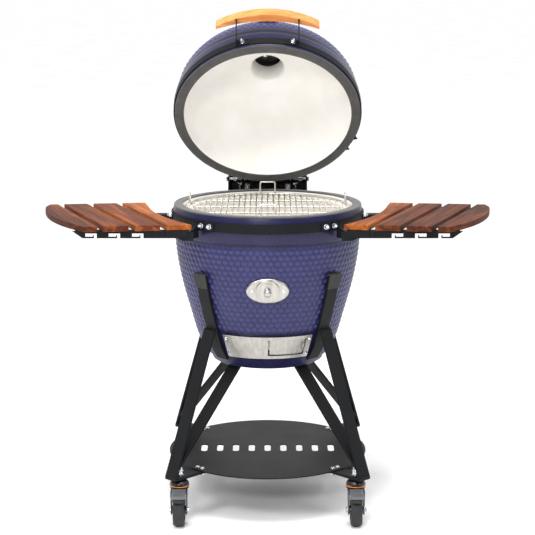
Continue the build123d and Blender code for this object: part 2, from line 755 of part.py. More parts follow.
def meet(x_mid, line):
    """Where a slat's long edge meets an end line."""
    y = 0.0
    for _ in range(30):
        y = line(slat_edge(x_mid, y))
    return (slat_edge(x_mid, y), y)


def slat(index):
    centre = FIRST_SLAT_X + index * SLAT_PITCH
    inner = centre - SLAT_W / 2
    outer = centre + SLAT_W / 2
    corner_a = meet(inner, rear_line)
    corner_b = meet(outer, rear_line)
    corner_c = meet(outer, front_line)
    corner_d = meet(inner, front_line)
    edges = [Line(corner_a, corner_b), Line(corner_b, corner_c), Line(corner_c, corner_d), Line(corner_d, corner_a)]
    if index == 0:
        front = (205, front_line(205))
        edges = [
            Line((358, rear_line(358)), corner_b),
            Line(corner_b, corner_c),
            Line(corner_c, front),
            ThreePointArc(front, (297.6, -71), (346, 105)),
            Line((346, 105), (358, rear_line(358))),
        ]
    if index == 3:
        tip = (640, 85)
        front = (490, front_line(490))
        edges = [
            Line(corner_a, (634, rear_line(634))),
            Line((634, rear_line(634)), tip),
            ThreePointArc(tip, (597, -98), front),
            Line(front, corner_d),
            Line(corner_d, corner_a),
        ]
    board = Pos(0, 0, SHELF_TOP - SLAT_T) * extrude(make_face(edges), amount=SLAT_T)
    return board


def shelf_slats():
    return group([slat(index) for index in range(4)])


HOOK_X = [335, 398, 461]


def shelf_arms():
    """Front angle bar with three tool hooks in its web, and a plain rear angle bar."""
    top = SHELF_TOP - SLAT_T - GAP
    low = top - 20
    web = upright([(214, low + 8), (222, low), (500, low), (528, top), (214, top)], ARM_FRONT_Y, ARM_FRONT_Y + 3)
    for x in HOOK_X:
        web -= block(x, x + 31, ARM_FRONT_Y - 1, ARM_FRONT_Y + 4, low + 4, low + 13)
        web -= block(x, x + 8, ARM_FRONT_Y - 1, ARM_FRONT_Y + 4, low - 1, low + 13)
        web += block(x + 8, x + 11, ARM_FRONT_Y, ARM_FRONT_Y + 3, low + 3.5, low + 8)
    front = web + block(214, 520, ARM_FRONT_Y, ARM_FRONT_Y + 24, top - 3, top)
    rear = upright([(272, low + 4), (276, low), (580, low), (606, top), (272, top)], ARM_REAR_Y, ARM_REAR_Y + 3)
    rear += block(272, 600, ARM_REAR_Y, ARM_REAR_Y + 30, top - 3, top)
    arms = [front, rear]
    for x, y in screw_places():
        arms = [a - rod((x, y, low), (x, y, top + 5), 2.3) for a in arms]
    arms = [a - rod((FOLD_X, -300, FOLD_Z), (FOLD_X, 100, FOLD_Z), 5 + RUN) for a in arms]
    return group(arms)


def screw_places():
    places = []
    for y in (ARM_FRONT_Y + 14, ARM_REAR_Y + 16):
        for index in range(4):
            x = slat_edge(FIRST_SLAT_X + index * SLAT_PITCH, y)
            places.append((min(x, 508) if y < 0 else min(x, 590), y))
    return places


def shelf_screws():
    """Screws through the arms into the slats."""
    top = SHELF_TOP - SLAT_T - GAP
    heads = [rod((x, y, top - 6), (x, y, top - 3.1), 4.5) for x, y in screw_places()]
    shanks = [rod((x, y, top - 4), (x, y, top + 9), 2) for x, y in screw_places()]
    return group([head + shank for head, shank in zip(heads, shanks)])


def shelf_bracket_front():
    """Plate bolted to the lower band, bent out to the front pivot."""
    inner = BAND_OUT + 2 * GAP + BAND_T
    z1 = LOWER_BAND_Z + BAND_H
    foot = sector(inner, inner + BAND_T, LOWER_BAND_Z, z1 - 1, 270 + 32, 270 + 45.5)
    direction = 270 + 44
    web_out = upright([(inner + 1, 809), (323, 809), (323, 829.5), (302, 829.5), (inner + 1, 844)], -3, 0)
    web = Rot(0, 0, direction) * web_out
    y0 = ARM_FRONT_Y + 3 + 0.4
    lug = upright([(200, 806), (228, 806), (246, 814), (FOLD_X, 814), (FOLD_X, 830), (200, 830)], y0, y0 + 3)
    lug += rod((FOLD_X, y0, FOLD_Z), (FOLD_X, y0 + 3, FOLD_Z), 8.4)
    bracket = foot + web + lug
    for angle in FRONT_BOLT_ANGLES:
        bracket -= radial_rod(angle, RIM_R, RIM_R + 12, LOWER_BAND_Z + BAND_H / 2, 3.4)
    bracket -= rod((FOLD_X, -300, FOLD_Z), (FOLD_X, 100, FOLD_Z), 5 + RUN)
    return bracket


def shelf_bracket_rear():
    inner = BAND_OUT + GAP
    foot = sector(inner, inner + BAND_T, LOWER_BAND_Z, LOWER_BAND_Z + BAND_H - 1, -9, 8)
    y0 = ARM_REAR_Y - 0.4 - 3
    lug = upright([(262, 814), (FOLD_X, 814), (FOLD_X, 830), (262, 830)], y0, y0 + 3)
    lug = lug - Cylinder(inner + 1, 2000)
    lug += rod((FOLD_X, y0, FOLD_Z), (FOLD_X, y0 + 3, FOLD_Z), 8.4)
    bracket = foot + lug
    for angle in SHELF_BOLT_ANGLES:
        bracket -= radial_rod(angle, RIM_R, RIM_R + 12, LOWER_BAND_Z + BAND_H / 2, 3.4)
    bracket -= rod((FOLD_X, -300, FOLD_Z), (FOLD_X, 100, FOLD_Z), 5 + RUN)
    return bracket


def shelf_brackets():
    right = [shelf_bracket_front(), shelf_bracket_rear()]
    return group(right + [mirrored(b) for b in right])


def shelf_pivots():
    """Shouldered bolts on which the shelf arms fold."""
    pins = []
    for y in (ARM_FRONT_Y, ARM_REAR_Y - 3.4):
        pin = rod((FOLD_X, y - 0.6, FOLD_Z), (FOLD_X, y + 7, FOLD_Z), 5)
        pin += rod((FOLD_X, y - 4.6, FOLD_Z), (FOLD_X, y - 0.5, FOLD_Z), 7.5)
        pin += rod((FOLD_X, y + 6.9, FOLD_Z), (FOLD_X, y + 12, FOLD_Z), 7.5)
        pins.append(pin)
    return group(pins + [mirrored(p) for p in pins])


# ---------------------------------------------------------------- all nodes
def nodes():
    parts = {
        "base_bowl": base_bowl(),
        "base_gasket": base_gasket(),
        "fire_box": fire_box(),
        "fire_ring": fire_ring(),
        "charcoal_grate": charcoal_grate(),
        "cooking_grate": cooking_grate(),
        "lower_band": lower_band(),
        "bowl_fasteners": bowl_fasteners(),
        "hinge_base": hinge_base(),
        "hinge_pin": hinge_pin(),
        "hinge_springs": hinge_springs(),
        "draft_frame": draft_frame(),
        "draft_door": draft_door(),
        "port_plate": port_plate(),
        "port_cover": port_cover(),
        "lid_dome": lid_dome(),
        "lid_gasket": lid_gasket(),
        "lid_band": lid_band(),
        "lid_bolts": lid_bolts(),
        "handle_grip": handle_grip(),
        "handle_brackets": handle_brackets(),
        "hinge_lid_plate": hinge_lid_plate(),
        "thermometer": thermometer(),
        "chimney_collar": chimney_collar(),
        "vent_disc": vent_disc(),
        "cradle_straps": cradle_straps(),
        "cradle_pads": cradle_pads(),
        "outer_legs": outer_legs(),
        "inner_braces": inner_braces(),
        "foot_bars": foot_bars(),
        "lower_plate": lower_plate(),
        "stand_fasteners": stand_fasteners(),
        "caster_tops": caster_tops(),
        "caster_seals": caster_seals(),
        "shelf_brackets": shelf_brackets(),
        "shelf_pivots": shelf_pivots(),
    }
    for name, maker in (("slats", shelf_slats), ("arms", shelf_arms), ("screws", shelf_screws)):
        part = maker()
        parts["shelf_right_" + name] = part
        parts["shelf_left_" + name] = mirrored(part)
    for corner, place in caster_places().items():
        parts["caster_fork_" + corner] = caster_fork(place)
        parts["caster_axle_" + corner] = caster_axle(place)
        parts["caster_tyre_" + corner] = caster_tyre(place)
        parts["caster_hub_" + corner] = caster_hub(place)
        if corner in ("fl", "fr"):
            parts["brake_pedal_" + corner] = brake_pedal(place)
    return parts


def lowered(part):
    """The node's solids moved down so that the floor is at zero."""
    solids = [Pos(0, 0, -GROUND) * solid for solid in part.solids()]
    return solids[0] if len(solids) == 1 else Compound(children=solids)


os.makedirs("parts", exist_ok=True)
for node, shape in nodes().items():
    export_step(lowered(shape), f"parts/{node}.step")
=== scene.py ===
import json
import math

import bmesh
import bpy
import numpy as np
from mathutils import Matrix, Vector, noise
from mathutils.bvhtree import BVHTree

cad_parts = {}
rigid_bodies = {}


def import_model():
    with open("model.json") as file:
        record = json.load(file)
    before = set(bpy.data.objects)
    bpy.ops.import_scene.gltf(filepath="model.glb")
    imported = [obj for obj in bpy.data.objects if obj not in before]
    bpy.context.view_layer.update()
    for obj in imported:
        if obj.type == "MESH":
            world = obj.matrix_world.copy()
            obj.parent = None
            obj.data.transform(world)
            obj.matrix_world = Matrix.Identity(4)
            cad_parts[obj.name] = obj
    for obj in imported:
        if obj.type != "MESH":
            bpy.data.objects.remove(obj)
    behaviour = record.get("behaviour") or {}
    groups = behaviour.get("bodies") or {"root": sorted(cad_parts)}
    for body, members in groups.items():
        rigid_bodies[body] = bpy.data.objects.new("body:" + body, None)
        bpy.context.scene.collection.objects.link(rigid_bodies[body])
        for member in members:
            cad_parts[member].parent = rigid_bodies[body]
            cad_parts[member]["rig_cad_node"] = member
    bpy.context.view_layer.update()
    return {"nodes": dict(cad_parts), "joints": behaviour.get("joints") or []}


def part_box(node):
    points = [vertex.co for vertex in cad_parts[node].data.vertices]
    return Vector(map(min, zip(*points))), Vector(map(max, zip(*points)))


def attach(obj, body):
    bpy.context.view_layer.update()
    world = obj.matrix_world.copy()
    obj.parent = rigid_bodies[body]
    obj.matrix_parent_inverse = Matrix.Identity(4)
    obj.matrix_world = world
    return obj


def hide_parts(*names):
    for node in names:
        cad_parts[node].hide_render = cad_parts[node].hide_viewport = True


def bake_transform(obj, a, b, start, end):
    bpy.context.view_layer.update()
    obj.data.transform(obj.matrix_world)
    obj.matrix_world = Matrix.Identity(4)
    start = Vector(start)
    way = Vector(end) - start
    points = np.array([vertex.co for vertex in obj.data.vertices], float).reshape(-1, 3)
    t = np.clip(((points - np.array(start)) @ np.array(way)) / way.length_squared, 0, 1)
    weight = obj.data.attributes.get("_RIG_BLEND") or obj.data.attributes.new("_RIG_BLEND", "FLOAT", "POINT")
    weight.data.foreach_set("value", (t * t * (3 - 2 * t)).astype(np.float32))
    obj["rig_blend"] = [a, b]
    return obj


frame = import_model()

bl_info = {
    "name": "Kamado grill dresser",
    "version": (1, 0, 0),
    "blender": (4, 5, 0),
    "location": "View3D > Sidebar > Grill",
    "description": "Builds the finished surfaces of a ceramic grill round its packed frame",
    "category": "Object",
}

# ---------------------------------------------------------------- places, some read from the frame
JOINTS = {joint["name"]: joint for joint in frame["joints"]}
CORNERS = ("fl", "fr", "rr", "rl")
MM = 0.001

PIN = Vector(JOINTS["lid_close"]["pos_m"])
OPENING = math.radians(JOINTS["lid_close"]["range_deg"][1])
OPEN = Matrix.Translation(PIN) @ Matrix.Rotation(-OPENING, 4, "X") @ Matrix.Translation(-PIN)
RIM_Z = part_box("base_gasket")[1].z
LID_RIM_Z = RIM_Z + 0.6 * MM
# from the lid's own axes, with heights above its rim, to where the open lid stands
LID = OPEN @ Matrix.Translation((0, 0, LID_RIM_Z))
UNLID = LID.inverted()
STEMS = {c: Vector(JOINTS[f"swivel_turn_{c}"]["pos_m"]) * Vector((1, 1, 0)) for c in CORNERS}
FRONT = math.radians(270)
STUD_STAND = 10.2 * MM  # from a stud's tip back to the face that it stands on
BAND_BOLT_DEPTH = 0.08  # bolts less than this far under the rim hold the band
PORT_SCREW_DEPTH = 0.28  # and those less than this far hold the port plate
CLAMP_SIDE_X = 0.2  # the lid band's clamp lies further right than this
GAUGE_LEAN = math.radians(33)  # the gauge's axis above level, with the lid shut
CAMERA_PLACE = (-0.0003, -4.628, 1.5782)
CAMERA_TILT = math.radians(78.94)
CAMERA_LENS = 111.16


# ---------------------------------------------------------------- colours and materials
def linear(code, alpha=None):
    """An sRGB hex colour as linear numbers."""
    parts = [int(code[i : i + 2], 16) / 255 for i in (1, 3, 5)]
    values = [c / 12.92 if c <= 0.04045 else ((c + 0.055) / 1.055) ** 2.4 for c in parts]
    return tuple(values) if alpha is None else (*values, alpha)


def add(tree, kind, inputs=None, **settings):
    """Adds one shader node: settings are its own properties, inputs are values or sockets to link."""
    made = tree.nodes.new(kind)
    for key, value in settings.items():
        setattr(made, key, value)
    for key, value in (inputs or {}).items():
        if isinstance(value, bpy.types.NodeSocket):
            tree.links.new(value, made.inputs[key])
        else:
            made.inputs[key].default_value = value
    return made


def start(name):
    """A new node material: its tree, its surface shader and a shared set of object coordinates in metres."""
    found = bpy.data.materials.get(name)
    if found:
        bpy.data.materials.remove(found)
    made = bpy.data.materials.new(name)
    made.use_nodes = True
    tree = made.node_tree
    shader = tree.nodes["Principled BSDF"]
    place = add(tree, "ShaderNodeTexCoord").outputs["Object"]
    return made, tree, shader, place


def ramp(tree, factor, stops):
    """A colour ramp through (position, linear colour) stops."""
    made = add(tree, "ShaderNodeValToRGB", {"Fac": factor})
    bar = made.color_ramp
    while len(bar.elements) < len(stops):
        bar.elements.new(0.5)
    for element, (position, colour) in zip(bar.elements, stops):
        element.position = position
        element.color = (*colour[:3], 1)
    return made.outputs["Color"]


def grain(tree, place, size_mm, detail=3.0, stretch=(1, 1, 1), turn=0.0):
    """Noise whose blobs are about size_mm across, stretched along an axis where stretch is under 1."""
    moved = add(tree, "ShaderNodeMapping", {"Vector": place, "Scale": stretch, "Rotation": (0, 0, turn)})
    made = add(
        tree,
        "ShaderNodeTexNoise",
        {"Vector": moved.outputs["Vector"], "Scale": 1 / (size_mm * MM), "Detail": detail},
    )
    return made.outputs["Fac"]


def roughen(tree, shader, factor, low, high):
    """Lets the roughness wander between two values."""
    spread = add(tree, "ShaderNodeMapRange", {"Value": factor, "To Min": low, "To Max": high})
    tree.links.new(spread.outputs["Result"], shader.inputs["Roughness"])


def bump(tree, shader, height, depth_mm, strength=1.0):
    """Raises the surface by a height pattern."""
    made = add(
        tree, "ShaderNodeBump", {"Height": height, "Distance": depth_mm * MM, "Strength": strength}
    )
    tree.links.new(made.outputs["Normal"], shader.inputs["Normal"])


def glazed_stoneware(looks):
    # Stoneware with a fired satin-gloss glaze: darker in the hollows and paler on each boss, partly the
    # glaze's own thick and thin coat and partly painted shade in the hollows and a painted highlight on each
    # boss, with a fine orange-peel skin that breaks up the highlights.
    made, tree, shader, place = start("glazed_stoneware_blue")
    # The boss height tints the base colour: a painted highlight on each boss and painted shade in the
    # hollows, partly also the glaze's own thin and thick coat.
    boss = add(tree, "ShaderNodeAttribute", attribute_name="boss").outputs["Fac"]
    cloud = grain(tree, place, 45, 4)
    mixed = add(tree, "ShaderNodeMath", {0: cloud, 1: 0.5}, operation="MULTIPLY")
    summed = add(tree, "ShaderNodeMath", {0: mixed.outputs[0], 1: boss}, operation="ADD")
    shade = ramp(
        tree,
        summed.outputs[0],
        [(0.18, looks.glaze_thick_and_shaded), (0.6, looks.glaze), (1.0, looks.glaze_thin_and_highlit)],
    )
    tree.links.new(shade, shader.inputs["Base Color"])
    roughen(tree, shader, grain(tree, place, 6, 3), 0.24, 0.34)
    shader.inputs["IOR"].default_value = 1.5
    shader.inputs["Specular IOR Level"].default_value = 0.27
    bump(tree, shader, grain(tree, place, 2.2, 3), 0.5, 0.6)
    return made


def cream_slip():
    # White clay slip fired on the inside of the shells: matt, almost even, faint warm clouds and pinholes.
    made, tree, shader, place = start("cream_slip_on_stoneware")
    cloud = grain(tree, place, 70, 4)
    shade = ramp(tree, cloud, [(0.3, linear("#F4F1EB")), (0.7, linear("#FAF9F6"))])
    tree.links.new(shade, shader.inputs["Base Color"])
    shader.inputs["Roughness"].default_value = 0.62
    bump(tree, shader, grain(tree, place, 3, 4), 0.3, 0.4)
    return made


def fireclay():
    # Cast fireclay, unglazed: chalky cream with darker specks of grog.
    made, tree, shader, place = start("cast_fireclay")
    specks = grain(tree, place, 2.5, 2)
    shade = ramp(
        tree, specks, [(0.28, linear("#CFC6B6")), (0.4, linear("#F0EBE1")), (0.8, linear("#F8F5EE"))]
    )
    tree.links.new(shade, shader.inputs["Base Color"])
    shader.inputs["Roughness"].default_value = 0.85
    bump(tree, shader, grain(tree, place, 2.5, 4), 0.5, 0.6)
    return made


def pressed_felt(looks):
    # Dense needled felt: no shine, short fibres lying mostly round the ring, flecked light and dark.
    made, tree, shader, place = start("needled_grey_felt")
    fibres = grain(tree, place, 1.4, 5, stretch=(1, 1, 0.5))  # real fibres are finer, drawn to show
    patches = grain(tree, place, 30, 3)
    both = add(tree, "ShaderNodeMath", {0: fibres, 1: patches}, operation="ADD")
    half = add(tree, "ShaderNodeMath", {0: both.outputs[0], 1: 0.5}, operation="MULTIPLY")
    dark = tuple(c * 0.62 for c in looks.felt)
    pale = tuple(min(c * 1.45, 1) for c in looks.felt)
    shade = ramp(tree, half.outputs[0], [(0.34, dark), (0.5, looks.felt[:3]), (0.68, pale)])
    tree.links.new(shade, shader.inputs["Base Color"])
    shader.inputs["Roughness"].default_value = 0.95
    shader.inputs["Sheen Weight"].default_value = 0.25
    shader.inputs["Sheen Roughness"].default_value = 0.6
    bump(tree, shader, fibres, 0.8, 0.9)
    return made


def powder_coat(looks):
    # Steel with a baked powder coat: near black, satin, with the tiny even orange peel of the powder.
    made, tree, shader, place = start("powder_coated_steel")
    peel = grain(tree, place, 1.6, 2)
    cloud = grain(tree, place, 90, 3)
    dark = tuple(c * 0.82 for c in looks.powder)
    pale = tuple(c * 1.2 for c in looks.powder)
    shade = ramp(tree, cloud, [(0.3, dark), (0.7, pale)])
    tree.links.new(shade, shader.inputs["Base Color"])
    roughen(tree, shader, cloud, 0.46, 0.58)
    shader.inputs["Specular IOR Level"].default_value = 0.14
    bump(tree, shader, peel, 0.12, 0.5)
    return made


def stainless_sheet():
    # Stainless sheet, polished and then lightly wiped: bright, with long faint streaks along the bend.
    made, tree, shader, place = start("polished_stainless_sheet")
    streaks = grain(tree, place, 9, 2, stretch=(1, 1, 0.02))
    shade = ramp(tree, streaks, [(0.3, linear("#A09D98")), (0.7, linear("#B4B1AC"))])
    tree.links.new(shade, shader.inputs["Base Color"])
    shader.inputs["Metallic"].default_value = 1.0
    roughen(tree, shader, streaks, 0.26, 0.36)
    return made


def stainless_wire():
    # Drawn stainless wire, electropolished after welding: bright with a soft warm tint and small drawn lines.
    made, tree, shader, place = start("electropolished_wire")
    lines = grain(tree, place, 2.2, 3)
    shade = ramp(tree, lines, [(0.3, linear("#CFCAC2")), (0.7, linear("#F2EFEA"))])
    tree.links.new(shade, shader.inputs["Base Color"])
    shader.inputs["Metallic"].default_value = 1.0
    roughen(tree, shader, lines, 0.2, 0.36)
    return made


def zinc_plate():
    # Turned or pressed steel, bright zinc plated: clear cold shine with patchy passivation.
    made, tree, shader, place = start("bright_zinc_plated_steel")
    patches = grain(tree, place, 4, 3)
    shade = ramp(tree, patches, [(0.3, linear("#B4BAC2")), (0.7, linear("#E3E6EA"))])
    tree.links.new(shade, shader.inputs["Base Color"])
    shader.inputs["Metallic"].default_value = 1.0
    roughen(tree, shader, patches, 0.16, 0.34)
    return made


def wood(name, stops, ring_mm, turn):
    """Oiled solid timber: growth rings cut lengthwise, fine open pores and a colour that differs by board."""
    made, tree, shader, place = start(name)
    tone = add(tree, "ShaderNodeAttribute", attribute_name="board").outputs["Fac"]
    shift = add(tree, "ShaderNodeCombineXYZ", {"X": tone, "Y": tone, "Z": tone})
    placed = add(
        tree, "ShaderNodeVectorMath", {0: place, 1: shift.outputs[0]}, operation="ADD"
    ).outputs[0]
    along = (1, 0.07, 1)
    turned_place = add(
        tree, "ShaderNodeMapping", {"Vector": placed, "Rotation": (0, 0, turn)}
    ).outputs["Vector"]
    stretched = add(
        tree, "ShaderNodeMapping", {"Vector": turned_place, "Scale": along}
    ).outputs["Vector"]
    waves = add(
        tree,
        "ShaderNodeTexNoise",
        {"Vector": stretched, "Scale": 1 / (ring_mm * 4.5 * MM), "Detail": 2.0, "Distortion": 0.6},
    ).outputs["Fac"]
    folded = add(tree, "ShaderNodeMath", {0: waves, 1: 7.0}, operation="MULTIPLY")
    rings = add(tree, "ShaderNodeMath", {0: folded.outputs[0], 1: 1.0}, operation="PINGPONG").outputs[0]
    streak = add(
        tree, "ShaderNodeTexNoise", {"Vector": stretched, "Scale": 1 / (1.6 * MM), "Detail": 4.0}
    ).outputs["Fac"]
    cloud = add(
        tree, "ShaderNodeTexNoise", {"Vector": stretched, "Scale": 1 / (60 * MM), "Detail": 2.0}
    ).outputs["Fac"]
    part = add(tree, "ShaderNodeMath", {0: rings, 1: 0.24}, operation="MULTIPLY").outputs[0]
    fine = add(tree, "ShaderNodeMath", {0: streak, 1: 0.34}, operation="MULTIPLY").outputs[0]
    broad = add(tree, "ShaderNodeMath", {0: cloud, 1: 0.55}, operation="MULTIPLY").outputs[0]
    two = add(tree, "ShaderNodeMath", {0: part, 1: fine}, operation="ADD").outputs[0]
    three = add(tree, "ShaderNodeMath", {0: two, 1: broad}, operation="ADD").outputs[0]
    pale = add(tree, "ShaderNodeAttribute", attribute_name="pale").outputs["Fac"]
    total = add(tree, "ShaderNodeMath", {0: three, 1: pale}, operation="ADD").outputs[0]
    shade = ramp(tree, total, stops)
    tree.links.new(shade, shader.inputs["Base Color"])
    roughen(tree, shader, streak, 0.5, 0.66)
    shader.inputs["IOR"].default_value = 1.48
    shader.inputs["Specular IOR Level"].default_value = 0.12
    bump(tree, shader, streak, 0.35, 0.5)
    return made


def acacia(side):
    # Oiled acacia: reddish brown heartwood with near-black streaks, the board next to the bowl paler sapwood.
    stops = [
        (0.22, linear("#200D07")),
        (0.4, linear("#44200F")),
        (0.58, linear("#602E16")),
        (0.78, linear("#8A4A1F")),
        (0.98, linear("#AE682C")),
    ]
    lean = math.atan(0.392)
    return wood(f"oiled_acacia_{side}", stops, 6.0, lean if side == "right" else -lean)


def bentwood():
    # Oiled pale hardwood, sawn and sanded round: honey orange with fine straight lines along the grip.
    stops = [
        (0.2, linear("#A05A28")),
        (0.5, linear("#C67B42")),
        (0.75, linear("#D89158")),
        (1.0, linear("#E6A874")),
    ]
    return wood("oiled_pale_hardwood", stops, 3.2, math.radians(90))


def gloss_nylon():
    # Injection-moulded black nylon, polished tool: deep black with sharp small highlights.
    made, tree, shader, place = start("moulded_black_nylon")
    flow = grain(tree, place, 8, 3)
    shade = ramp(tree, flow, [(0.3, linear("#0E0F12")), (0.7, linear("#1B1C20"))])
    tree.links.new(shade, shader.inputs["Base Color"])
    roughen(tree, shader, flow, 0.16, 0.3)
    shader.inputs["IOR"].default_value = 1.53
    return made


def grey_nylon():
    # Glass-filled nylon, moulded on a grained tool: mid grey with a dull soft shine.
    made, tree, shader, place = start("moulded_grey_nylon")
    speck = grain(tree, place, 1.2, 2)
    shade = ramp(tree, speck, [(0.3, linear("#4A4D52")), (0.7, linear("#6E7176"))])
    tree.links.new(shade, shader.inputs["Base Color"])
    shader.inputs["Roughness"].default_value = 0.42
    bump(tree, shader, speck, 0.15, 0.5)
    return made


def tyre_rubber():
    # Cast polyurethane tread: grey-black, matt, dusty where it has rolled.
    made, tree, shader, place = start("cast_tread_rubber")
    dust = grain(tree, place, 9, 4)
    shade = ramp(tree, dust, [(0.35, linear("#141517")), (0.7, linear("#242628"))])
    tree.links.new(shade, shader.inputs["Base Color"])
    roughen(tree, shader, dust, 0.55, 0.75)
    bump(tree, shader, grain(tree, place, 1.5, 3), 0.2, 0.5)
    return made


def pad_rubber():
    # Moulded silicone rubber: flat black with a slight bloom.
    made, tree, shader, place = start("moulded_silicone_rubber")
    bloom = grain(tree, place, 12, 3)
    shade = ramp(tree, bloom, [(0.3, linear("#1B1B1A")), (0.7, linear("#2A2A28"))])
    tree.links.new(shade, shader.inputs["Base Color"])
    shader.inputs["Roughness"].default_value = 0.7
    bump(tree, shader, grain(tree, place, 1.5, 2), 0.15, 0.4)
    return made


def orange_seal():
    # Moulded polypropylene ring: strong even orange, slightly waxy.
    made, tree, shader, place = start("moulded_orange_polypropylene")
    flow = grain(tree, place, 6, 2)
    shade = ramp(tree, flow, [(0.3, linear("#D06A10")), (0.7, linear("#EE9420"))])
    tree.links.new(shade, shader.inputs["Base Color"])
    shader.inputs["Roughness"].default_value = 0.4
    return made


def sand_cast_iron():
    # Sand-cast iron under black stove paint: dull with the grit of the mould showing through.
    made, tree, shader, place = start("painted_sand_cast_iron")
    grit = grain(tree, place, 1.6, 3)
    shade = ramp(tree, grain(tree, place, 25, 3), [(0.3, linear("#161616")), (0.7, linear("#2B2B2A"))])
    tree.links.new(shade, shader.inputs["Base Color"])
    shader.inputs["Roughness"].default_value = 0.6
    bump(tree, shader, grit, 0.4, 0.8)
    return made


def dial_enamel():
    # Printed enamel dial: flat warm white.
    made, tree, shader, place = start("printed_enamel_dial")
    shade = ramp(tree, grain(tree, place, 10, 2), [(0.3, linear("#EFEDE6")), (0.7, linear("#F7F5F0"))])
    tree.links.new(shade, shader.inputs["Base Color"])
    shader.inputs["Roughness"].default_value = 0.5
    return made


def dial_ink():
    # Black and red screen-print ink shares one dark tone at this size.
    made, tree, shader, place = start("screen_print_ink")
    shade = ramp(tree, grain(tree, place, 3, 2), [(0.3, linear("#141414")), (0.7, linear("#242020"))])
    tree.links.new(shade, shader.inputs["Base Color"])
    shader.inputs["Roughness"].default_value = 0.5
    return made


def pressed_glass():
    # Clear pressed glass over the dial: only its reflections show.
    made, tree, shader, place = start("clear_pressed_glass")
    shader.inputs["Base Color"].default_value = (1, 1, 1, 1)
    shader.inputs["Transmission Weight"].default_value = 1.0
    shader.inputs["IOR"].default_value = 1.5
    roughen(tree, shader, grain(tree, place, 20, 2), 0.01, 0.03)
    return made


def pale_floor():
    # Painted studio floor: plain pale grey-white, matt.
    made, tree, shader, place = start("painted_studio_floor")
    shade = ramp(tree, grain(tree, place, 400, 2), [(0.3, linear("#F3F3F3")), (0.7, linear("#F8F8F8"))])
    tree.links.new(shade, shader.inputs["Base Color"])
    shader.inputs["Roughness"].default_value = 0.9
    return made


PAINTS = {}


def paint(name):
    """The material of that name, made once with the colours chosen in the panel."""
    looks = bpy.context.scene.grill_looks
    makers = {
        "glaze": lambda: glazed_stoneware(looks),
        "slip": cream_slip,
        "fireclay": fireclay,
        "felt": lambda: pressed_felt(looks),
        "powder": lambda: powder_coat(looks),
        "sheet": stainless_sheet,
        "wire": stainless_wire,
        "zinc": zinc_plate,
        "acacia_right": lambda: acacia("right"),
        "acacia_left": lambda: acacia("left"),
        "bentwood": bentwood,
        "nylon": gloss_nylon,
        "pedal": grey_nylon,
        "tyre": tyre_rubber,
        "rubber": pad_rubber,
        "seal": orange_seal,
        "iron": sand_cast_iron,
        "dial": dial_enamel,
        "ink": dial_ink,
        "glass": pressed_glass,
        "floor": pale_floor,
    }
    if name not in PAINTS:
        PAINTS[name] = makers[name]()
    return PAINTS[name]


# ---------------------------------------------------------------- mesh helpers
def piece(name, mesh, paints, body, replaces=()):
    """Puts a finished mesh in the scene with its materials, and says which body it rides on."""
    old = bpy.data.objects.get(name)
    if old and "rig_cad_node" not in old:
        bpy.data.objects.remove(old)
    made = bpy.data.objects.new(name, mesh)
    bpy.context.scene.collection.objects.link(made)
    for each in paints:
        mesh.materials.append(paint(each))
    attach(made, body)
    if replaces:
        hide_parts(*replaces)
    return made


def mesh_from(bm, name, sharp_deg=32.0, place=None):
    """Turns a bmesh into a smooth-shaded mesh with its sharper edges kept crisp."""
    if place is not None:
        bmesh.ops.transform(bm, matrix=place, verts=bm.verts)
    bmesh.ops.recalc_face_normals(bm, faces=bm.faces)
    limit = math.radians(sharp_deg)
    for face in bm.faces:
        face.smooth = True
    for edge in bm.edges:
        edge.smooth = edge.calc_face_angle(0.0) < limit
    mesh = bpy.data.meshes.new(name)
    bm.to_mesh(mesh)
    bm.free()
    return mesh


def flattened(mesh):
    """Weights the shading by face area, so flat faces stay flat beside their rounded edges."""
    holder = bpy.data.objects.new("holder", mesh)
    bpy.context.scene.collection.objects.link(holder)
    weigh = holder.modifiers.new("weigh", "WEIGHTED_NORMAL")
    weigh.keep_sharp = True
    weigh.weight = 90
    seen = holder.evaluated_get(bpy.context.evaluated_depsgraph_get())
    result = bpy.data.meshes.new_from_object(seen)
    bpy.data.objects.remove(holder)
    result.name = mesh.name
    return result


def soften(bm, width, steps=2, angle_deg=28.0):
    """Rounds every edge sharper than the angle."""
    limit = math.radians(angle_deg)
    edges = [e for e in bm.edges if len(e.link_faces) == 2 and e.calc_face_angle(0.0) > limit]
    bmesh.ops.bevel(
        bm, geom=edges, offset=width, segments=steps, profile=0.5, affect="EDGES", clamp_overlap=True
    )


def cad_copy(node):
    """The CAD node's shape as a clean bmesh: doubles merged and flat faces joined up."""
    bm = bmesh.new()
    bm.from_mesh(frame["nodes"][node].data)
    bmesh.ops.remove_doubles(bm, verts=bm.verts, dist=1e-6)
    bmesh.ops.dissolve_limit(
        bm, angle_limit=math.radians(1.0), verts=bm.verts, edges=bm.edges, delimit={"NORMAL"}
    )
    return bm


def dressed(node, paints, body, width_mm=0.8, steps=2, suffix="_finished"):
    """A CAD node's shape with its edges broken, in place of the node."""
    bm = cad_copy(node)
    soften(bm, width_mm * MM, steps)
    mesh = flattened(mesh_from(bm, node + suffix, 50))
    return piece(node + suffix, mesh, paints, body, (node,))


def islands(node):
    """The separate solids of a CAD node, as arrays of points."""
    bm = bmesh.new()
    bm.from_mesh(frame["nodes"][node].data)
    bmesh.ops.remove_doubles(bm, verts=bm.verts, dist=1e-6)
    seen = set()
    found = []
    for seed in bm.verts:
        if seed in seen:
            continue
        stack = [seed]
        seen.add(seed)
        points = []
        while stack:
            vert = stack.pop()
            points.append(tuple(vert.co))
            for edge in vert.link_edges:
                other = edge.other_vert(vert)
                if other not in seen:
                    seen.add(other)
                    stack.append(other)
        found.append(np.array(points))
    bm.free()
    return found


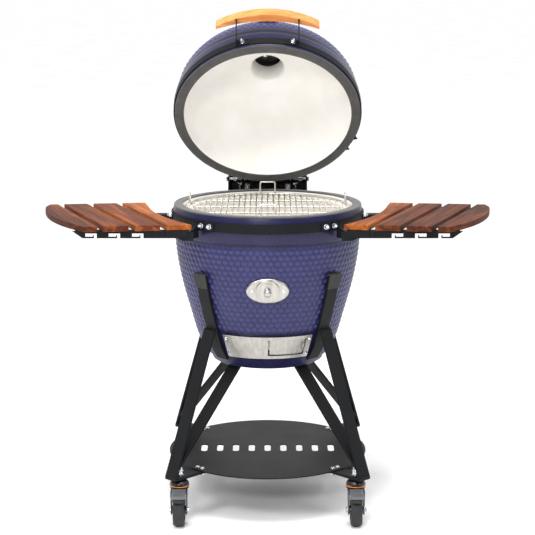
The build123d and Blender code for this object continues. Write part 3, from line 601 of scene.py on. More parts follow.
def turned(profile, count, place=None, cyclic=False):
    """A bmesh turned about Z from (radius, height) points; a radius of 0 closes to a point."""
    bm = bmesh.new()
    rings = []
    for radius, height in profile:
        if radius < 1e-7:
            rings.append([bm.verts.new((0, 0, height))])
            continue
        angles = [2 * math.pi * k / count for k in range(count)]
        rings.append(
            [bm.verts.new((radius * math.cos(a), radius * math.sin(a), height)) for a in angles]
        )
    pairs = list(zip(rings, rings[1:]))
    if cyclic:
        pairs.append((rings[-1], rings[0]))
    for low, high in pairs:
        for k in range(count):
            j = (k + 1) % count
            corners = [low[k % len(low)], low[j % len(low)], high[j % len(high)], high[k % len(high)]]
            unique = list(dict.fromkeys(corners))
            if len(unique) > 2:
                bm.faces.new(unique)
    if place is not None:
        bmesh.ops.transform(bm, matrix=place, verts=bm.verts)
    return bm


def joined(parts):
    """Several bmeshes as one."""
    whole = bmesh.new()
    for part in parts:
        mesh = bpy.data.meshes.new("part")
        part.to_mesh(mesh)
        part.free()
        whole.from_mesh(mesh)
        bpy.data.meshes.remove(mesh)
    return whole


def in_mm(outline):
    """An outline of (radius, height) in millimetres, as metres."""
    return [(r * MM, h * MM) for r, h in outline]


def assembled(name, parts, paints, body, replaces=()):
    """One piece made of several meshes."""
    return piece(name, mesh_from(joined(parts), name), paints, body, replaces)


def aimed(point, direction, up=(0, 0, 1)):
    """A placing matrix whose Z points along a direction."""
    z = Vector(direction).normalized()
    x = Vector(up).cross(z)
    if x.length < 1e-6:
        x = Vector((1, 0, 0)).cross(z) if abs(z.x) < 0.9 else Vector((0, 1, 0)).cross(z)
    x.normalize()
    y = z.cross(x)
    turn = Matrix((x, y, z)).transposed().to_4x4()
    return Matrix.Translation(point) @ turn


def tube(points, radius, sides=10, cyclic=False):
    """A round wire along points, with closed ends."""
    path = [Vector(p) for p in points]
    count = len(path)
    bm = bmesh.new()
    rings = []
    side = None
    for index, point in enumerate(path):
        ahead = path[(index + 1) % count] if cyclic or index + 1 < count else point
        behind = path[index - 1] if cyclic or index > 0 else point
        along = (ahead - behind).normalized()
        if side is None:
            side = along.orthogonal().normalized()
        side = (side - along * side.dot(along)).normalized()
        across = along.cross(side)
        angles = [2 * math.pi * k / sides for k in range(sides)]
        rings.append(
            [bm.verts.new(point + (side * math.cos(a) + across * math.sin(a)) * radius) for a in angles]
        )
    pairs = list(zip(rings, rings[1:]))
    if cyclic:
        pairs.append((rings[-1], rings[0]))
    for low, high in pairs:
        shift = 0
        if cyclic and low is rings[-1]:
            shift = min(range(sides), key=lambda s: (low[0].co - high[s].co).length)
        for k in range(sides):
            j = (k + 1) % sides
            bm.faces.new((low[k], low[j], high[(j + shift) % sides], high[(k + shift) % sides]))
    if not cyclic:
        bm.faces.new(rings[0][::-1])
        bm.faces.new(rings[-1])
    return bm


def rounded_path(corners, radius, steps=6):
    """Points along straight runs with each inner corner turned at a radius."""
    points = [Vector(corners[0])]
    for before, here, after in zip(corners, corners[1:], corners[2:]):
        here = Vector(here)
        to_before = (Vector(before) - here).normalized()
        to_after = (Vector(after) - here).normalized()
        start_point = here + to_before * radius
        end_point = here + to_after * radius
        for k in range(steps + 1):
            t = k / steps
            points.append((1 - t) ** 2 * start_point + 2 * t * (1 - t) * here + t * t * end_point)
    points.append(Vector(corners[-1]))
    return points


def polar(radius, angle, height):
    return Vector((radius * math.cos(angle), radius * math.sin(angle), height))


# ---------------------------------------------------------------- fasteners
def hexagon_nut(across, height, place, chamfer=0.9 * MM):
    """A hexagon nut with turned chamfers on both faces."""
    bm = bmesh.new()
    radius = across / math.sqrt(3)
    rings = []
    for scale_, z in ((0.9, 0), (1.0, chamfer * 0.6), (1.0, height - chamfer * 0.6), (0.9, height)):
        angles = [math.pi / 3 * k for k in range(6)]
        rings.append(
            [
                bm.verts.new(
                    (radius * scale_ * math.cos(a), radius * scale_ * math.sin(a), z)
                ) for a in angles
            ]
        )
    for low, high in zip(rings, rings[1:]):
        for k in range(6):
            bm.faces.new((low[k], low[(k + 1) % 6], high[(k + 1) % 6], high[k]))
    bm.faces.new(rings[0][::-1])
    bm.faces.new(rings[-1])
    bmesh.ops.transform(bm, matrix=place, verts=bm.verts)
    return bm


def threaded_rod(radius, length, place, pitch=1.25 * MM, sides=16):
    """A short length of thread as stacked ridges with a rounded end."""
    turns = max(2, int(length / pitch))
    profile = [(0, 0)]
    for k in range(turns):
        z = k * length / turns
        profile += [(radius * 0.88, z + 1e-6), (radius, z + 0.5 * length / turns)]
    profile += [
        (radius * 0.88, length), (radius * 0.6, length + radius * 0.25), (0, length + radius * 0.3)
    ]
    return turned(profile, sides, place)


def washer(inner, outer, thick, place):
    edge = thick * 0.25
    profile = [
        (inner, 0),
        (outer - edge, 0),
        (outer, edge),
        (outer, thick - edge),
        (outer - edge, thick),
        (inner, thick),
    ]
    return turned(profile, 28, place, cyclic=True)


def stud_and_nut(point, direction, across=11 * MM, nut=5.5 * MM, reach=5 * MM):
    """A washer, a hexagon nut and the end of a threaded stud standing out of it."""
    place = aimed(point, direction)
    out = Vector(direction).normalized()
    nut_place = aimed(Vector(point) + out * 1.3 * MM, direction)
    end_place = aimed(Vector(point) + out * (1.3 * MM + nut - 0.1 * MM), direction)
    return [
        washer(3.4 * MM, across * 0.66, 1.3 * MM, place),
        hexagon_nut(across, nut, nut_place),
        threaded_rod(3.1 * MM, reach, end_place),
    ]


def pan_screw(point, direction, radius=4.2 * MM, height=2.4 * MM):
    """A pan head with a cross recess."""
    place = aimed(point, direction)
    dome = [
        (0, height),
        (radius * 0.45, height * 0.98),
        (radius * 0.8, height * 0.78),
        (radius, height * 0.35),
        (radius, 0),
        (0, 0),
    ]
    head = turned(dome, 24, place)
    arm = radius * 0.5
    slots = []
    for turn in (0, math.pi / 2):
        bar = bmesh.new()
        bmesh.ops.create_cube(bar, size=1)
        scale_ = Matrix.Diagonal((arm * 2, radius * 0.22, height * 0.1, 1))
        lift = Matrix.Translation((0, 0, height))
        bmesh.ops.transform(
            bar, matrix=place @ lift @ Matrix.Rotation(turn, 4, "Z") @ scale_, verts=bar.verts
        )
        slots.append(bar)
    return [head], slots


# ---------------------------------------------------------------- ceramic shells
def boss_height(rows, angle, row_place, pitch):
    """Height from 0 to 1 of the nearest boss, on staggered rows of an even pitch."""
    best = 0.0
    near = int(round(row_place))
    for row in (near - 1, near, near + 1):
        if row < 0 or row >= len(rows):
            continue
        radius = rows[row]
        count = max(6, int(round(2 * math.pi * radius / pitch)))
        step = 2 * math.pi / count
        offset = 0.5 * step if row % 2 else 0.0
        from_front = angle - FRONT - offset
        nearest = round(from_front / step) * step
        across = (from_front - nearest) * radius / pitch
        along = (row_place - row) * 0.84
        distance = math.sqrt(across * across + along * along) / 0.56
        if distance < 1:
            best = max(best, (1 - distance * distance) ** 1.3)
    return best


def shell_rows(tree, to_local, angle, low, high, step, outside=True):
    """(radius, height) points of a shell's surface, found by looking at it along its radius."""
    back = to_local.inverted()
    found = []
    count = int(round((high - low) / step))
    for k in range(count + 1):
        h = low + (high - low) * k / count
        origin = polar(0.6 if outside else 0.0, angle, h)
        aim = polar(-1.0 if outside else 1.0, angle, 0)
        hit = tree.ray_cast(back @ origin, back.to_3x3() @ aim)[0]
        if hit is not None:
            local = to_local @ hit
            found.append((math.hypot(local.x, local.y), h))
    return found


def even_spacing(points, step):
    """The same outline with points an even distance apart."""
    line = np.array(points)
    gaps = np.hypot(*np.diff(line, axis=0).T)
    place = np.concatenate([[0], np.cumsum(gaps)])
    count = max(2, int(round(place[-1] / step)))
    wanted = np.linspace(0, place[-1], count + 1)
    return list(zip(np.interp(wanted, place, line[:, 0]), np.interp(wanted, place, line[:, 1])))


def dimpled(bm, skin, start_h, fade, pitch, depth, count, clear=None):
    """Raises the bosses on the rows of skin vertices and records them for the glaze."""
    layer = bm.verts.layers.float["boss"]
    radii = [math.hypot(ring[0].co.x, ring[0].co.y) for ring in skin]
    heights = [ring[0].co.z for ring in skin]
    path = [0.0]
    for k in range(1, len(skin)):
        path.append(path[-1] + math.hypot(radii[k] - radii[k - 1], heights[k] - heights[k - 1]))
    row_gap = pitch * 0.84
    row_count = int(path[-1] / row_gap) + 2
    rows = list(np.interp(np.arange(row_count) * row_gap, path, radii))
    for k, ring in enumerate(skin):
        a, b = max(k - 1, 0), min(k + 1, len(skin) - 1)
        slope = Vector((radii[b] - radii[a], heights[b] - heights[a])).normalized()
        out_r, out_z = abs(slope.y), -slope.x * (1 if slope.y > 0 else -1)
        reach = min(max((path[k] - start_h) / fade, 0), 1)
        end_reach = min(max((path[-1] - path[k]) / fade, 0), 1)
        for j, vert in enumerate(ring):
            angle = 2 * math.pi * j / count
            raised = boss_height(rows, angle, path[k] / row_gap, pitch) * reach * end_reach
            if clear is not None:
                raised *= clear(angle, heights[k])
            # This boss height also tints the glaze: a painted highlight on each boss and painted shade in the
            # hollows.
            vert[layer] = raised
            lift = depth * (raised - 0.35 * reach * end_reach)
            outward = Vector((math.cos(angle) * out_r, math.sin(angle) * out_r, out_z))
            vert.co += outward * lift


def ring_grid(bm, points, count):
    """Rows of vertices round Z, joined by faces; returns the rows."""
    rows = []
    for radius, height in points:
        rows.append([bm.verts.new(polar(radius, 2 * math.pi * j / count, height)) for j in range(count)])
    for low, high in zip(rows, rows[1:]):
        for j in range(count):
            i = (j + 1) % count
            bm.faces.new((low[j], low[i], high[i], high[j]))
    return rows


def shell(outline, inside, skin_from, skin_to, sizes, clear=None, fade=0.012):
    """A closed ceramic shell: outline runs down the outside, inside runs back up; faces know their coat."""
    count = sizes.shell_columns
    bm = bmesh.new()
    bm.verts.layers.float.new("boss")
    points = outline + inside
    rows = ring_grid(bm, points, count)
    for j in range(count):
        i = (j + 1) % count
        bm.faces.new((rows[-1][j], rows[-1][i], rows[0][i], rows[0][j]))
    dimpled(bm, rows[skin_from:skin_to], 0.0, fade, sizes.boss_pitch, sizes.boss_height, count, clear)
    bm.faces.ensure_lookup_table()
    glazed = len(outline) - 1
    for index, face in enumerate(bm.faces):
        face.material_index = 0 if index // count < glazed else 1
    return bm


def cut(obj, cutters):
    """Takes the cutters' shapes out of a piece."""
    for cutter in cutters:
        hole = bpy.data.objects.new("cutter", cutter)
        bpy.context.scene.collection.objects.link(hole)
        modifier = obj.modifiers.new("cut", "BOOLEAN")
        modifier.operation = "DIFFERENCE"
        modifier.solver = "EXACT"
        modifier.object = hole
        depsgraph = bpy.context.evaluated_depsgraph_get()
        mesh = bpy.data.meshes.new_from_object(obj.evaluated_get(depsgraph))
        obj.modifiers.clear()
        obj.data = mesh
        bpy.data.objects.remove(hole)


def slab(x0, x1, y0, y1, z0, z1, name="slab"):
    """A plain box mesh, used only to cut with."""
    bm = bmesh.new()
    bmesh.ops.create_cube(bm, size=1)
    middle = Matrix.Translation(((x0 + x1) / 2, (y0 + y1) / 2, (z0 + z1) / 2))
    bmesh.ops.transform(
        bm, matrix=middle @ Matrix.Diagonal((x1 - x0, y1 - y0, z1 - z0, 1)), verts=bm.verts
    )
    mesh = bpy.data.meshes.new(name)
    bm.to_mesh(mesh)
    bm.free()
    return mesh


def tree_of(node):
    """A CAD node's surface, ready to be looked at along a line."""
    mesh = frame["nodes"][node].data
    return BVHTree.FromPolygons([v.co[:] for v in mesh.vertices], [p.vertices[:] for p in mesh.polygons])


def bowl_clear(low, high):
    """A function that keeps the bosses off the wall round the draft door and below it."""
    half = math.radians(39)

    def clear(angle, height):
        off = abs((angle - FRONT + math.pi) % (2 * math.pi) - math.pi)
        side = min(max((off - half) / 0.06, 0), 1)
        above = min(max((height - high - 6 * MM) / (6 * MM), 0), 1)
        foot = min(max((height - low + 26 * MM) / (14 * MM), 0), 1)
        return max(side, above) * foot

    return clear


def make_bowl(sizes):
    look = tree_of("base_bowl")
    here = Matrix.Identity(4)
    angle = math.radians(20)
    low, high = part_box("base_bowl")
    vent_low, vent_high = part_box("draft_frame")
    collar = high.z - 76 * MM
    wall = shell_rows(look, here, angle, low.z + 13 * MM, collar, 2 * MM)
    wall = even_spacing(wall[::-1], sizes.shell_step)
    rim = high.x
    top = [(rim - 2.5 * MM, high.z), (rim - 0.7 * MM, high.z - 0.7 * MM), (rim, high.z - 2.5 * MM)]
    band = [(rim, high.z - 40 * MM), (rim, collar + 5 * MM), (rim - 1.5 * MM, collar + 2.5 * MM)]
    foot_r = wall[-1][0]
    foot = [
        (foot_r - 4 * MM, low.z + 4 * MM), (foot_r - 9 * MM, low.z + 0.8 * MM), (foot_r - 14 * MM, low.z)
    ]
    floor = [(0.02, low.z)]
    outline = top + band + wall + foot + floor
    felt_in = 0.239
    hollow = shell_rows(look, here, angle, low.z + 26 * MM, high.z - 2 * MM, 8 * MM, outside=False)
    inside = [(0.02, low.z + 24 * MM), (0.1, low.z + 24 * MM)] + hollow
    inside += [(felt_in, high.z - 1.5 * MM), (felt_in + 1.5 * MM, high.z)]
    first = len(top) + len(band) + 1
    last = first + len(wall) - 2
    bm = shell(outline, inside, first, last, sizes, bowl_clear(vent_low.z, vent_high.z))
    made = piece(
        "bowl_glazed",
        mesh_from(bm, "bowl_glazed", 40),
        ["glaze", "slip"],
        "stand",
        ("base_bowl",),
    )
    window = slab(-0.074, 0.074, -0.26, -0.12, vent_low.z + 17 * MM, vent_high.z - 16 * MM)
    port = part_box("port_plate")
    probe = turned(
        [(0, 0), (0.013, 0), (0.013, 0.09), (0, 0.09)],
        32,
        aimed((0, -0.27, (port[0].z + port[1].z) / 2), (0, 1, 0)),
    )
    cut(made, [window, mesh_from(probe, "probe")])
    return made


def make_lid(sizes):
    look = tree_of("lid_dome")
    angle = math.radians(200)
    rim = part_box("base_bowl")[1].x
    felt_in = 0.239
    collar_top = 79 * MM
    dome = shell_rows(look, UNLID, angle, collar_top, 0.2585, 1.5 * MM)
    dome = even_spacing(dome, sizes.shell_step)
    skirt = [
        (rim - 2.5 * MM, 3.5 * MM),
        (rim - 0.7 * MM, 4.2 * MM),
        (rim, 6 * MM),
        (rim, 30 * MM),
        (rim, 53 * MM),
        (rim - 0.8 * MM, 56 * MM),
        (rim - 3.2 * MM, 59 * MM),
        (rim - 3.8 * MM, 62 * MM),
        (rim - 4.4 * MM, 68 * MM),
        (dome[0][0] + 1.6 * MM, 75 * MM),
    ]
    neck_top = 0.262
    crown = [(0.0585, 0.2605), (0.057, neck_top)]
    outline = skirt + dome + crown
    mouth = [
        (0.0415, neck_top), (0.041, 0.2605), (0.0445, 0.236), (0.0475, 0.214), (0.0495, 0.2075),
        (0.054, 0.2045),
    ]
    hollow = shell_rows(look, UNLID, angle, 0.006, 0.2, 6 * MM, outside=False)[::-1]
    inside = mouth + [p for p in hollow if p[0] > 0.06] + [
        (felt_in, 5 * MM), (felt_in + 1.5 * MM, 3.5 * MM)
    ]
    first = len(skirt) + 1
    last = first + len(dome) - 4
    bm = shell(outline, inside, first, last, sizes, fade=0.010)
    mesh = mesh_from(bm, "lid_glazed", 40, LID)
    return piece("lid_glazed", mesh, ["glaze", "slip"], "lid", ("lid_dome",))


def felt_ring(name, place, node, body, upward):
    """A flat felt ring with soft edges, a slightly uneven face and a butt joint."""
    inner, outer, thick = 0.2392, 0.2648, 3.5 * MM
    count = 420
    profile = [
        (inner, 0.2 * MM),
        (inner + 0.2 * MM, 2.6 * MM),
        (inner + 1.2 * MM, thick),
        (inner + 7 * MM, thick + 0.1 * MM),
        ((inner + outer) / 2, thick + 0.15 * MM),
        (outer - 7 * MM, thick + 0.1 * MM),
        (outer - 1.2 * MM, thick),
        (outer - 0.2 * MM, 2.6 * MM),
        (outer, 0.2 * MM),
    ]
    bm = turned(profile, count, cyclic=True)
    joint = math.radians(262)
    for vert in bm.verts:
        angle = math.atan2(vert.co.y, vert.co.x) % (2 * math.pi)
        wobble = noise.noise(vert.co * 90) * 0.22 + noise.noise(vert.co * 420) * 0.12
        radial = noise.noise(vert.co * 60 + Vector((5, 0, 0))) * 0.25
        gap = math.exp(-(((angle - joint) / 0.006) ** 2))
        if vert.co.z > 1 * MM:
            vert.co.z += (wobble - 1.1 * gap) * MM
        vert.co.x *= 1 + radial * MM / 0.25
        vert.co.y *= 1 + radial * MM / 0.25
    flip = Matrix.Identity(4) if upward else Matrix.Diagonal((1, 1, -1, 1))
    bmesh.ops.transform(bm, matrix=flip, verts=bm.verts)
    return piece(name, mesh_from(bm, name, 60, place), ["felt"], body, (node,))


# ---------------------------------------------------------------- wires, handle, small parts
def make_grate():
    low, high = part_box("cooking_grate")
    level = low.z + 5.8 * MM
    radius = high.x - 3.5 * MM
    rim = [polar(radius, 2 * math.pi * k / 160, level) for k in range(160)]
    parts = [tube(rim, 3.4 * MM, 12, cyclic=True)]
    pitch = 16.3 * MM
    count = int(radius / pitch)
    for index in range(-count, count + 1):
        x = index * pitch
        half = math.sqrt(radius**2 - x**2)
        parts.append(tube([(x, -half + 2 * half * k / 12, level) for k in range(13)], 2.2 * MM))
    for y in (-0.110, 0.0, 0.110):
        half = math.sqrt(0.203**2 - y**2)
        parts.append(tube([(-half, y, level - 3.6 * MM), (half, y, level - 3.6 * MM)], 2.2 * MM))
    top = high.z - 2.4 * MM
    for turn in range(4):
        about = Matrix.Rotation(turn * math.pi / 2, 4, "Z")
        x = radius - 6 * MM
        corners = [(x + 5 * MM, -22 * MM, level), (x, -22 * MM, level + 4 * MM), (x, -22 * MM, top)]
        corners += [(x, 22 * MM, top), (x, 22 * MM, level + 4 * MM), (x + 5 * MM, 22 * MM, level)]
        loop = tube([about @ p for p in rounded_path(corners, 6 * MM)], 2.4 * MM, 12)
        parts.append(loop)
    mesh = mesh_from(joined(parts), "grate_wires", 50)
    return piece("grate_wires", mesh, ["wire"], "grate", ("cooking_grate",))


def make_springs():
    """Two close-wound tension springs that stretch between the base and the lid's levers."""
    low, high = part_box("hinge_springs")
    parts = []
    wire = 1.5 * MM
    coil = 7.5 * MM
    turns = 12
    for side in (-1, 1):
        x = side * (high.x - 9 * MM)
        y = (low.y + high.y) / 2
        steps = turns * 18
        path = []
        for k in range(steps + 1):
            t = k / steps
            angle = 2 * math.pi * turns * t
            z = low.z + wire + (high.z - low.z - 2 * wire) * t
            path.append((x + coil * math.cos(angle), y + coil * math.sin(angle), z))
        parts.append(tube(path, wire, 8))
    mesh = mesh_from(joined(parts), "spring_coils", 50)
    old = bpy.data.objects.get("spring_coils")
    if old:
        bpy.data.objects.remove(old)
    made = bpy.data.objects.new("spring_coils", mesh)
    bpy.context.scene.collection.objects.link(made)
    mesh.materials.append(paint("wire"))
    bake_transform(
        made,
        "stand",
        "lid",
        start=(0, (low.y + high.y) / 2, low.z + 4 * MM),
        end=(0, (low.y + high.y) / 2, high.z),
    )
    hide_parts("hinge_springs")
    return made


def board_tones(obj, tones):
    """Gives each island of a wooden piece its own place in the timber and its own paleness."""
    mesh = obj.data
    bm = bmesh.new()
    bm.from_mesh(mesh)
    place = bm.verts.layers.float.new("board")
    pale = bm.verts.layers.float.new("pale")
    seen = set()
    groups = []
    for seed in bm.verts:
        if seed in seen:
            continue
        stack, members = [seed], []
        seen.add(seed)
        while stack:
            vert = stack.pop()
            members.append(vert)
            for edge in vert.link_edges:
                other = edge.other_vert(vert)
                if other not in seen:
                    seen.add(other)
                    stack.append(other)
        groups.append(members)
    groups.sort(key=lambda g: abs(sum(v.co.x for v in g) / len(g)))
    for (shift, light), members in zip(tones, groups):
        for vert in members:
            vert[place] = shift
            vert[pale] = light
    bm.to_mesh(mesh)
    bm.free()


def make_shelf(side, sizes):
    body = f"shelf_{side}"
    slats = dressed(
        f"shelf_{side}_slats", [f"acacia_{side}"], body, sizes.board_round * 1000, 3
    )
    tones = {
        "right": [(0.31, 0.2), (1.73, -0.05), (2.41, -0.14), (3.9, -0.13)],
        "left": [(5.27, 0.24), (6.61, 0.05), (7.13, -0.02), (8.37, -0.09)],
    }
    board_tones(slats, tones[side])
    dressed(f"shelf_{side}_arms", ["powder"], body, 0.6)
    parts, slots = [], []
    for points in islands(f"shelf_{side}_screws"):
        middle = points.mean(0)
        foot = Vector((middle[0], middle[1], points[:, 2].max() - 9.0 * MM - 3.1 * MM))
        head, recess = pan_screw(foot, (0, 0, -1), 4.5 * MM, 2.6 * MM)
        parts += head
        slots += recess
    mesh = mesh_from(joined(parts + slots), f"shelf_{side}_screw_heads")
    piece(f"shelf_{side}_screw_heads", mesh, ["zinc"], body, (f"shelf_{side}_screws",))


def make_bands():
    dressed("lower_band", ["powder"], "stand", 0.5)
    dressed("lid_band", ["powder"], "lid", 0.5)


def make_bowl_fasteners():
    parts = []
    for points in islands("bowl_fasteners"):
        middle = Vector(points.mean(0))
        low, high = points.min(0), points.max(0)
        below = RIM_Z - middle.z
        if abs(middle.x) > 0.07 and middle.y > 0.28 and high[2] - low[2] > 0.03:
            foot = Vector(((low[0] + high[0]) / 2, (low[1] + high[1]) / 2, low[2]))
            parts.append(hexagon_nut(13 * MM, 7 * MM, aimed(foot, (0, 0, 1))))
            parts.append(
                threaded_rod(
                    4 * MM, high[2] - low[2] - 5 * MM, aimed(foot + Vector((0, 0, 2 * MM)), (0, 0, 1))
                )
            )
            parts.append(
                hexagon_nut(
                    13 * MM, 6 * MM, aimed(foot + Vector((0, 0, high[2] - low[2] - 6.2 * MM)), (0, 0, 1))
                )
            )
        elif below < BAND_BOLT_DEPTH:
            out = Vector((middle.x, middle.y, 0)).normalized()
            reach = (points[:, :2] @ np.array(out[:2])).max()
            parts += stud_and_nut(out * (reach - STUD_STAND) + Vector((0, 0, middle.z)), out)
        elif below < PORT_SCREW_DEPTH:
            out = Vector(JOINTS["port_cover_turn"]["axis"])
            reach = max(Vector(p).dot(out) for p in points)
            foot = middle + out * (reach - 2.5 * MM - middle.dot(out))
            head, recess = pan_screw(foot, out)
            parts += head + recess
        else:
            out = Vector((middle.x, middle.y, 0)).normalized()
            reach = (points[:, :2] @ np.array(out[:2])).max()
            head, recess = pan_screw(
                out * (reach - 2.5 * MM) + Vector((0, 0, middle.z)), out, 4.6 * MM, 2.8 * MM
            )
            parts += head + recess
    mesh = mesh_from(joined(parts), "bowl_bolts")
    return piece("bowl_bolts", mesh, ["zinc"], "stand", ("bowl_fasteners",))


def make_lid_bolts():
    """Bright nuts at the handle and the hinge, black ones at the band's clamp."""
    bright, black = [], []
    for points in islands("lid_bolts"):
        local = np.array([tuple(UNLID @ Vector(p)) for p in points])
        middle = local.mean(0)
        out = Vector((middle[0], middle[1], 0)).normalized()
        reach = (local[:, :2] @ np.array(out[:2])).max()
        foot = LID @ (out * (reach - STUD_STAND) + Vector((0, 0, middle[2])))
        nuts = black if middle[0] > CLAMP_SIDE_X else bright
        nuts.extend(stud_and_nut(foot, LID.to_3x3() @ out))
    mesh = mesh_from(joined(bright), "lid_nuts")
    piece("lid_nuts", mesh, ["zinc"], "lid", ("lid_bolts",))
    mesh = mesh_from(joined(black), "lid_clamp_nuts")
    piece("lid_clamp_nuts", mesh, ["powder"], "lid")


def make_handle(sizes):
    grip = dressed("handle_grip", ["bentwood"], "lid", sizes.grip_round * 1000, 4)
    board_tones(grip, [(3.3, 0.1)])
    dressed("handle_brackets", ["powder"], "lid", 0.5)


def make_hinge():
    dressed("hinge_base", ["powder"], "stand", 0.7)
    dressed("hinge_lid_plate", ["powder"], "lid", 0.6)
    low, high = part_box("hinge_pin")
    parts = []
    length = high.x - low.x
    parts.append(
        turned(
            [
                (0, 0), (3.6 * MM, 0), (4 * MM, 0.5 * MM), (4 * MM, length - 0.5 * MM),
                (3.6 * MM, length), (0, length),
            ],
            24,
            aimed((low.x, PIN.y, PIN.z), (1, 0, 0)),
        )
    )
    for side, x in ((-1, low.x + 5 * MM), (1, high.x - 5 * MM)):
        parts.append(hexagon_nut(13 * MM, 5 * MM, aimed((x, PIN.y, PIN.z), (side, 0, 0))))
    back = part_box("hinge_base")[1].y - 3 * MM
    for side in (-1, 1):
        parts += stud_and_nut((side * 0.098, back, PIN.z - 4 * MM), (0, -1, 0), 12 * MM, 6 * MM, 7 * MM)
    assembled("hinge_pin_turned", parts, ["zinc"], "stand", ("hinge_pin",))
    make_springs()


def make_vent():
    dressed("draft_frame", ["sheet"], "stand", 0.6)
    dressed("draft_door", ["sheet"], "draft_slider", 0.4)


def make_port():
    place = Vector(JOINTS["port_cover_turn"]["pos_m"])
    out = Vector(JOINTS["port_cover_turn"]["axis"])
    frame_place = aimed(place, out)
    loops = [(1.0, 0.0), (1.0, 1.2), (0.985, 2.2), (0.955, 3.0), (0.92, 3.4), (0.86, 3.5), (0.62, 3.5)]
    bm = bmesh.new()
    rings = []
    for share, height in loops:
        angles = [2 * math.pi * k / 96 for k in range(96)]
        rings.append(
            [
                bm.verts.new(
                    (58 * MM * share * math.cos(a), 35.5 * MM * share * math.sin(a), height * MM)
                ) for a in angles
            ]
        )
    for low, high in zip(rings, rings[1:]):
        for k in range(96):
            bm.faces.new((low[k], low[(k + 1) % 96], high[(k + 1) % 96], high[k]))
    bm.faces.new(rings[0][::-1])
    bm.faces.new(rings[-1])
    bmesh.ops.transform(bm, matrix=frame_place, verts=bm.verts)
    piece(
        "port_plate_polished",
        mesh_from(bm, "port_plate_polished"),
        ["sheet"],
        "stand",
        ("port_plate",),
    )
    knob = [
        (0, 3.7), (31.5, 3.7), (33, 4.6), (33, 5.4), (32, 6.3), (30, 6.5), (26, 6.5), (25, 6.9), (15, 7.0),
        (12, 7.3), (9.5, 8.2), (6.2, 9.6), (5.4, 11.5), (5.6, 13), (7.2, 14.3), (9.6, 16.0),
        (10.6, 18.6),
        (10.7, 20.5), (9.8, 23.4), (7.8, 25.6), (5, 26.7), (0, 27.2),
    ]
    bm = turned(in_mm(knob), 64, frame_place)
    piece(
        "port_cover_turned",
        mesh_from(bm, "port_cover_turned", 40),
        ["sheet"],
        "port_cover",
        ("port_cover",),
    )


def make_fire_parts():
    dressed("fire_box", ["fireclay"], "stand", 1.5)
    dressed("fire_ring", ["fireclay"], "stand", 2.0)
    dressed("charcoal_grate", ["iron"], "stand", 1.0)


def make_thermometer():
    """A round dial gauge with a stepped bezel, ticks, a pointer and a probe."""
    out = Vector((0, -math.cos(GAUGE_LEAN), math.sin(GAUGE_LEAN)))
    points = np.array([tuple(UNLID @ Vector(v.co)) for v in frame["nodes"]["thermometer"].data.vertices])
    far = (points @ np.array(out)).max()
    rim = points[np.abs(points @ np.array(out) - far) < 1e-5].mean(0)
    face = Vector(rim)
    back = face - out * 12 * MM
    place = LID @ aimed(back, out, up=(1, 0, 0))
    bezel = [
        (0, 0), (27, 0), (29.4, 1.0), (30, 2.4), (30, 9.6), (29.2, 11.3), (27.6, 12.0), (26.4, 11.6),
        (25.8, 9.4), (0, 9.4),
    ]
    parts = [turned(in_mm(bezel), 72, place)]
    stem = [(0, -74), (2, -73), (4, -70), (4, -1), (7, -1), (7, 0.2), (0, 0.2)]
    parts.append(turned(in_mm(stem), 24, place))
    assembled("gauge_bezel", parts, ["sheet"], "lid", ("thermometer",))
    plate = [(0, 9.5), (25.2, 9.5), (25.6, 9.9), (25.2, 9.7), (0, 9.8)]
    dial = turned(in_mm(plate), 64, place)
    piece("gauge_dial", mesh_from(dial, "gauge_dial"), ["dial"], "lid")
    marks = []
    for k in range(41):
        angle = math.radians(225 - k * 6.75)
        long_tick = k % 5 == 0
        inner, outer = (17.5 if long_tick else 20.5) * MM, 23.5 * MM
        width = (1.0 if long_tick else 0.5) * MM
        bar = bmesh.new()
        bmesh.ops.create_cube(bar, size=1)
        size = Matrix.Diagonal((outer - inner, width, 0.15 * MM, 1))
        shift = Matrix.Translation(((inner + outer) / 2, 0, 9.9 * MM))
        bmesh.ops.transform(
            bar, matrix=place @ Matrix.Rotation(angle, 4, "Z") @ shift @ size, verts=bar.verts
        )
        marks.append(bar)
    needle = bmesh.new()
    tip = [(-6, -1.0), (-6, 1.0), (0, 1.3), (20, 0.25), (20, -0.25), (0, -1.3)]
    low_ring = [needle.verts.new((x * MM, y * MM, 10.3 * MM)) for x, y in tip]
    high_ring = [needle.verts.new((x * MM, y * MM, 10.7 * MM)) for x, y in tip]
    needle.faces.new(low_ring[::-1])
    needle.faces.new(high_ring)
    for k in range(6):
        needle.faces.new((low_ring[k], low_ring[(k + 1) % 6], high_ring[(k + 1) % 6], high_ring[k]))
    bmesh.ops.transform(
        needle, matrix=place @ Matrix.Rotation(math.radians(215), 4, "Z"), verts=needle.verts
    )
    marks.append(needle)
    boss = [(0, 11.0), (1.6, 10.9), (2.2, 10.4), (2.2, 9.8), (0, 9.8)]
    marks.append(turned(in_mm(boss), 20, place))
    assembled("gauge_marks", marks, ["ink"], "lid")
    dome = [(0, 11.35), (26.2, 11.3), (26.2, 11.7), (18, 12.2), (9, 12.5), (0, 12.6)]
    glass = turned(in_mm(dome), 64, place)
    piece("gauge_glass", mesh_from(glass, "gauge_glass", 60), ["glass"], "lid")


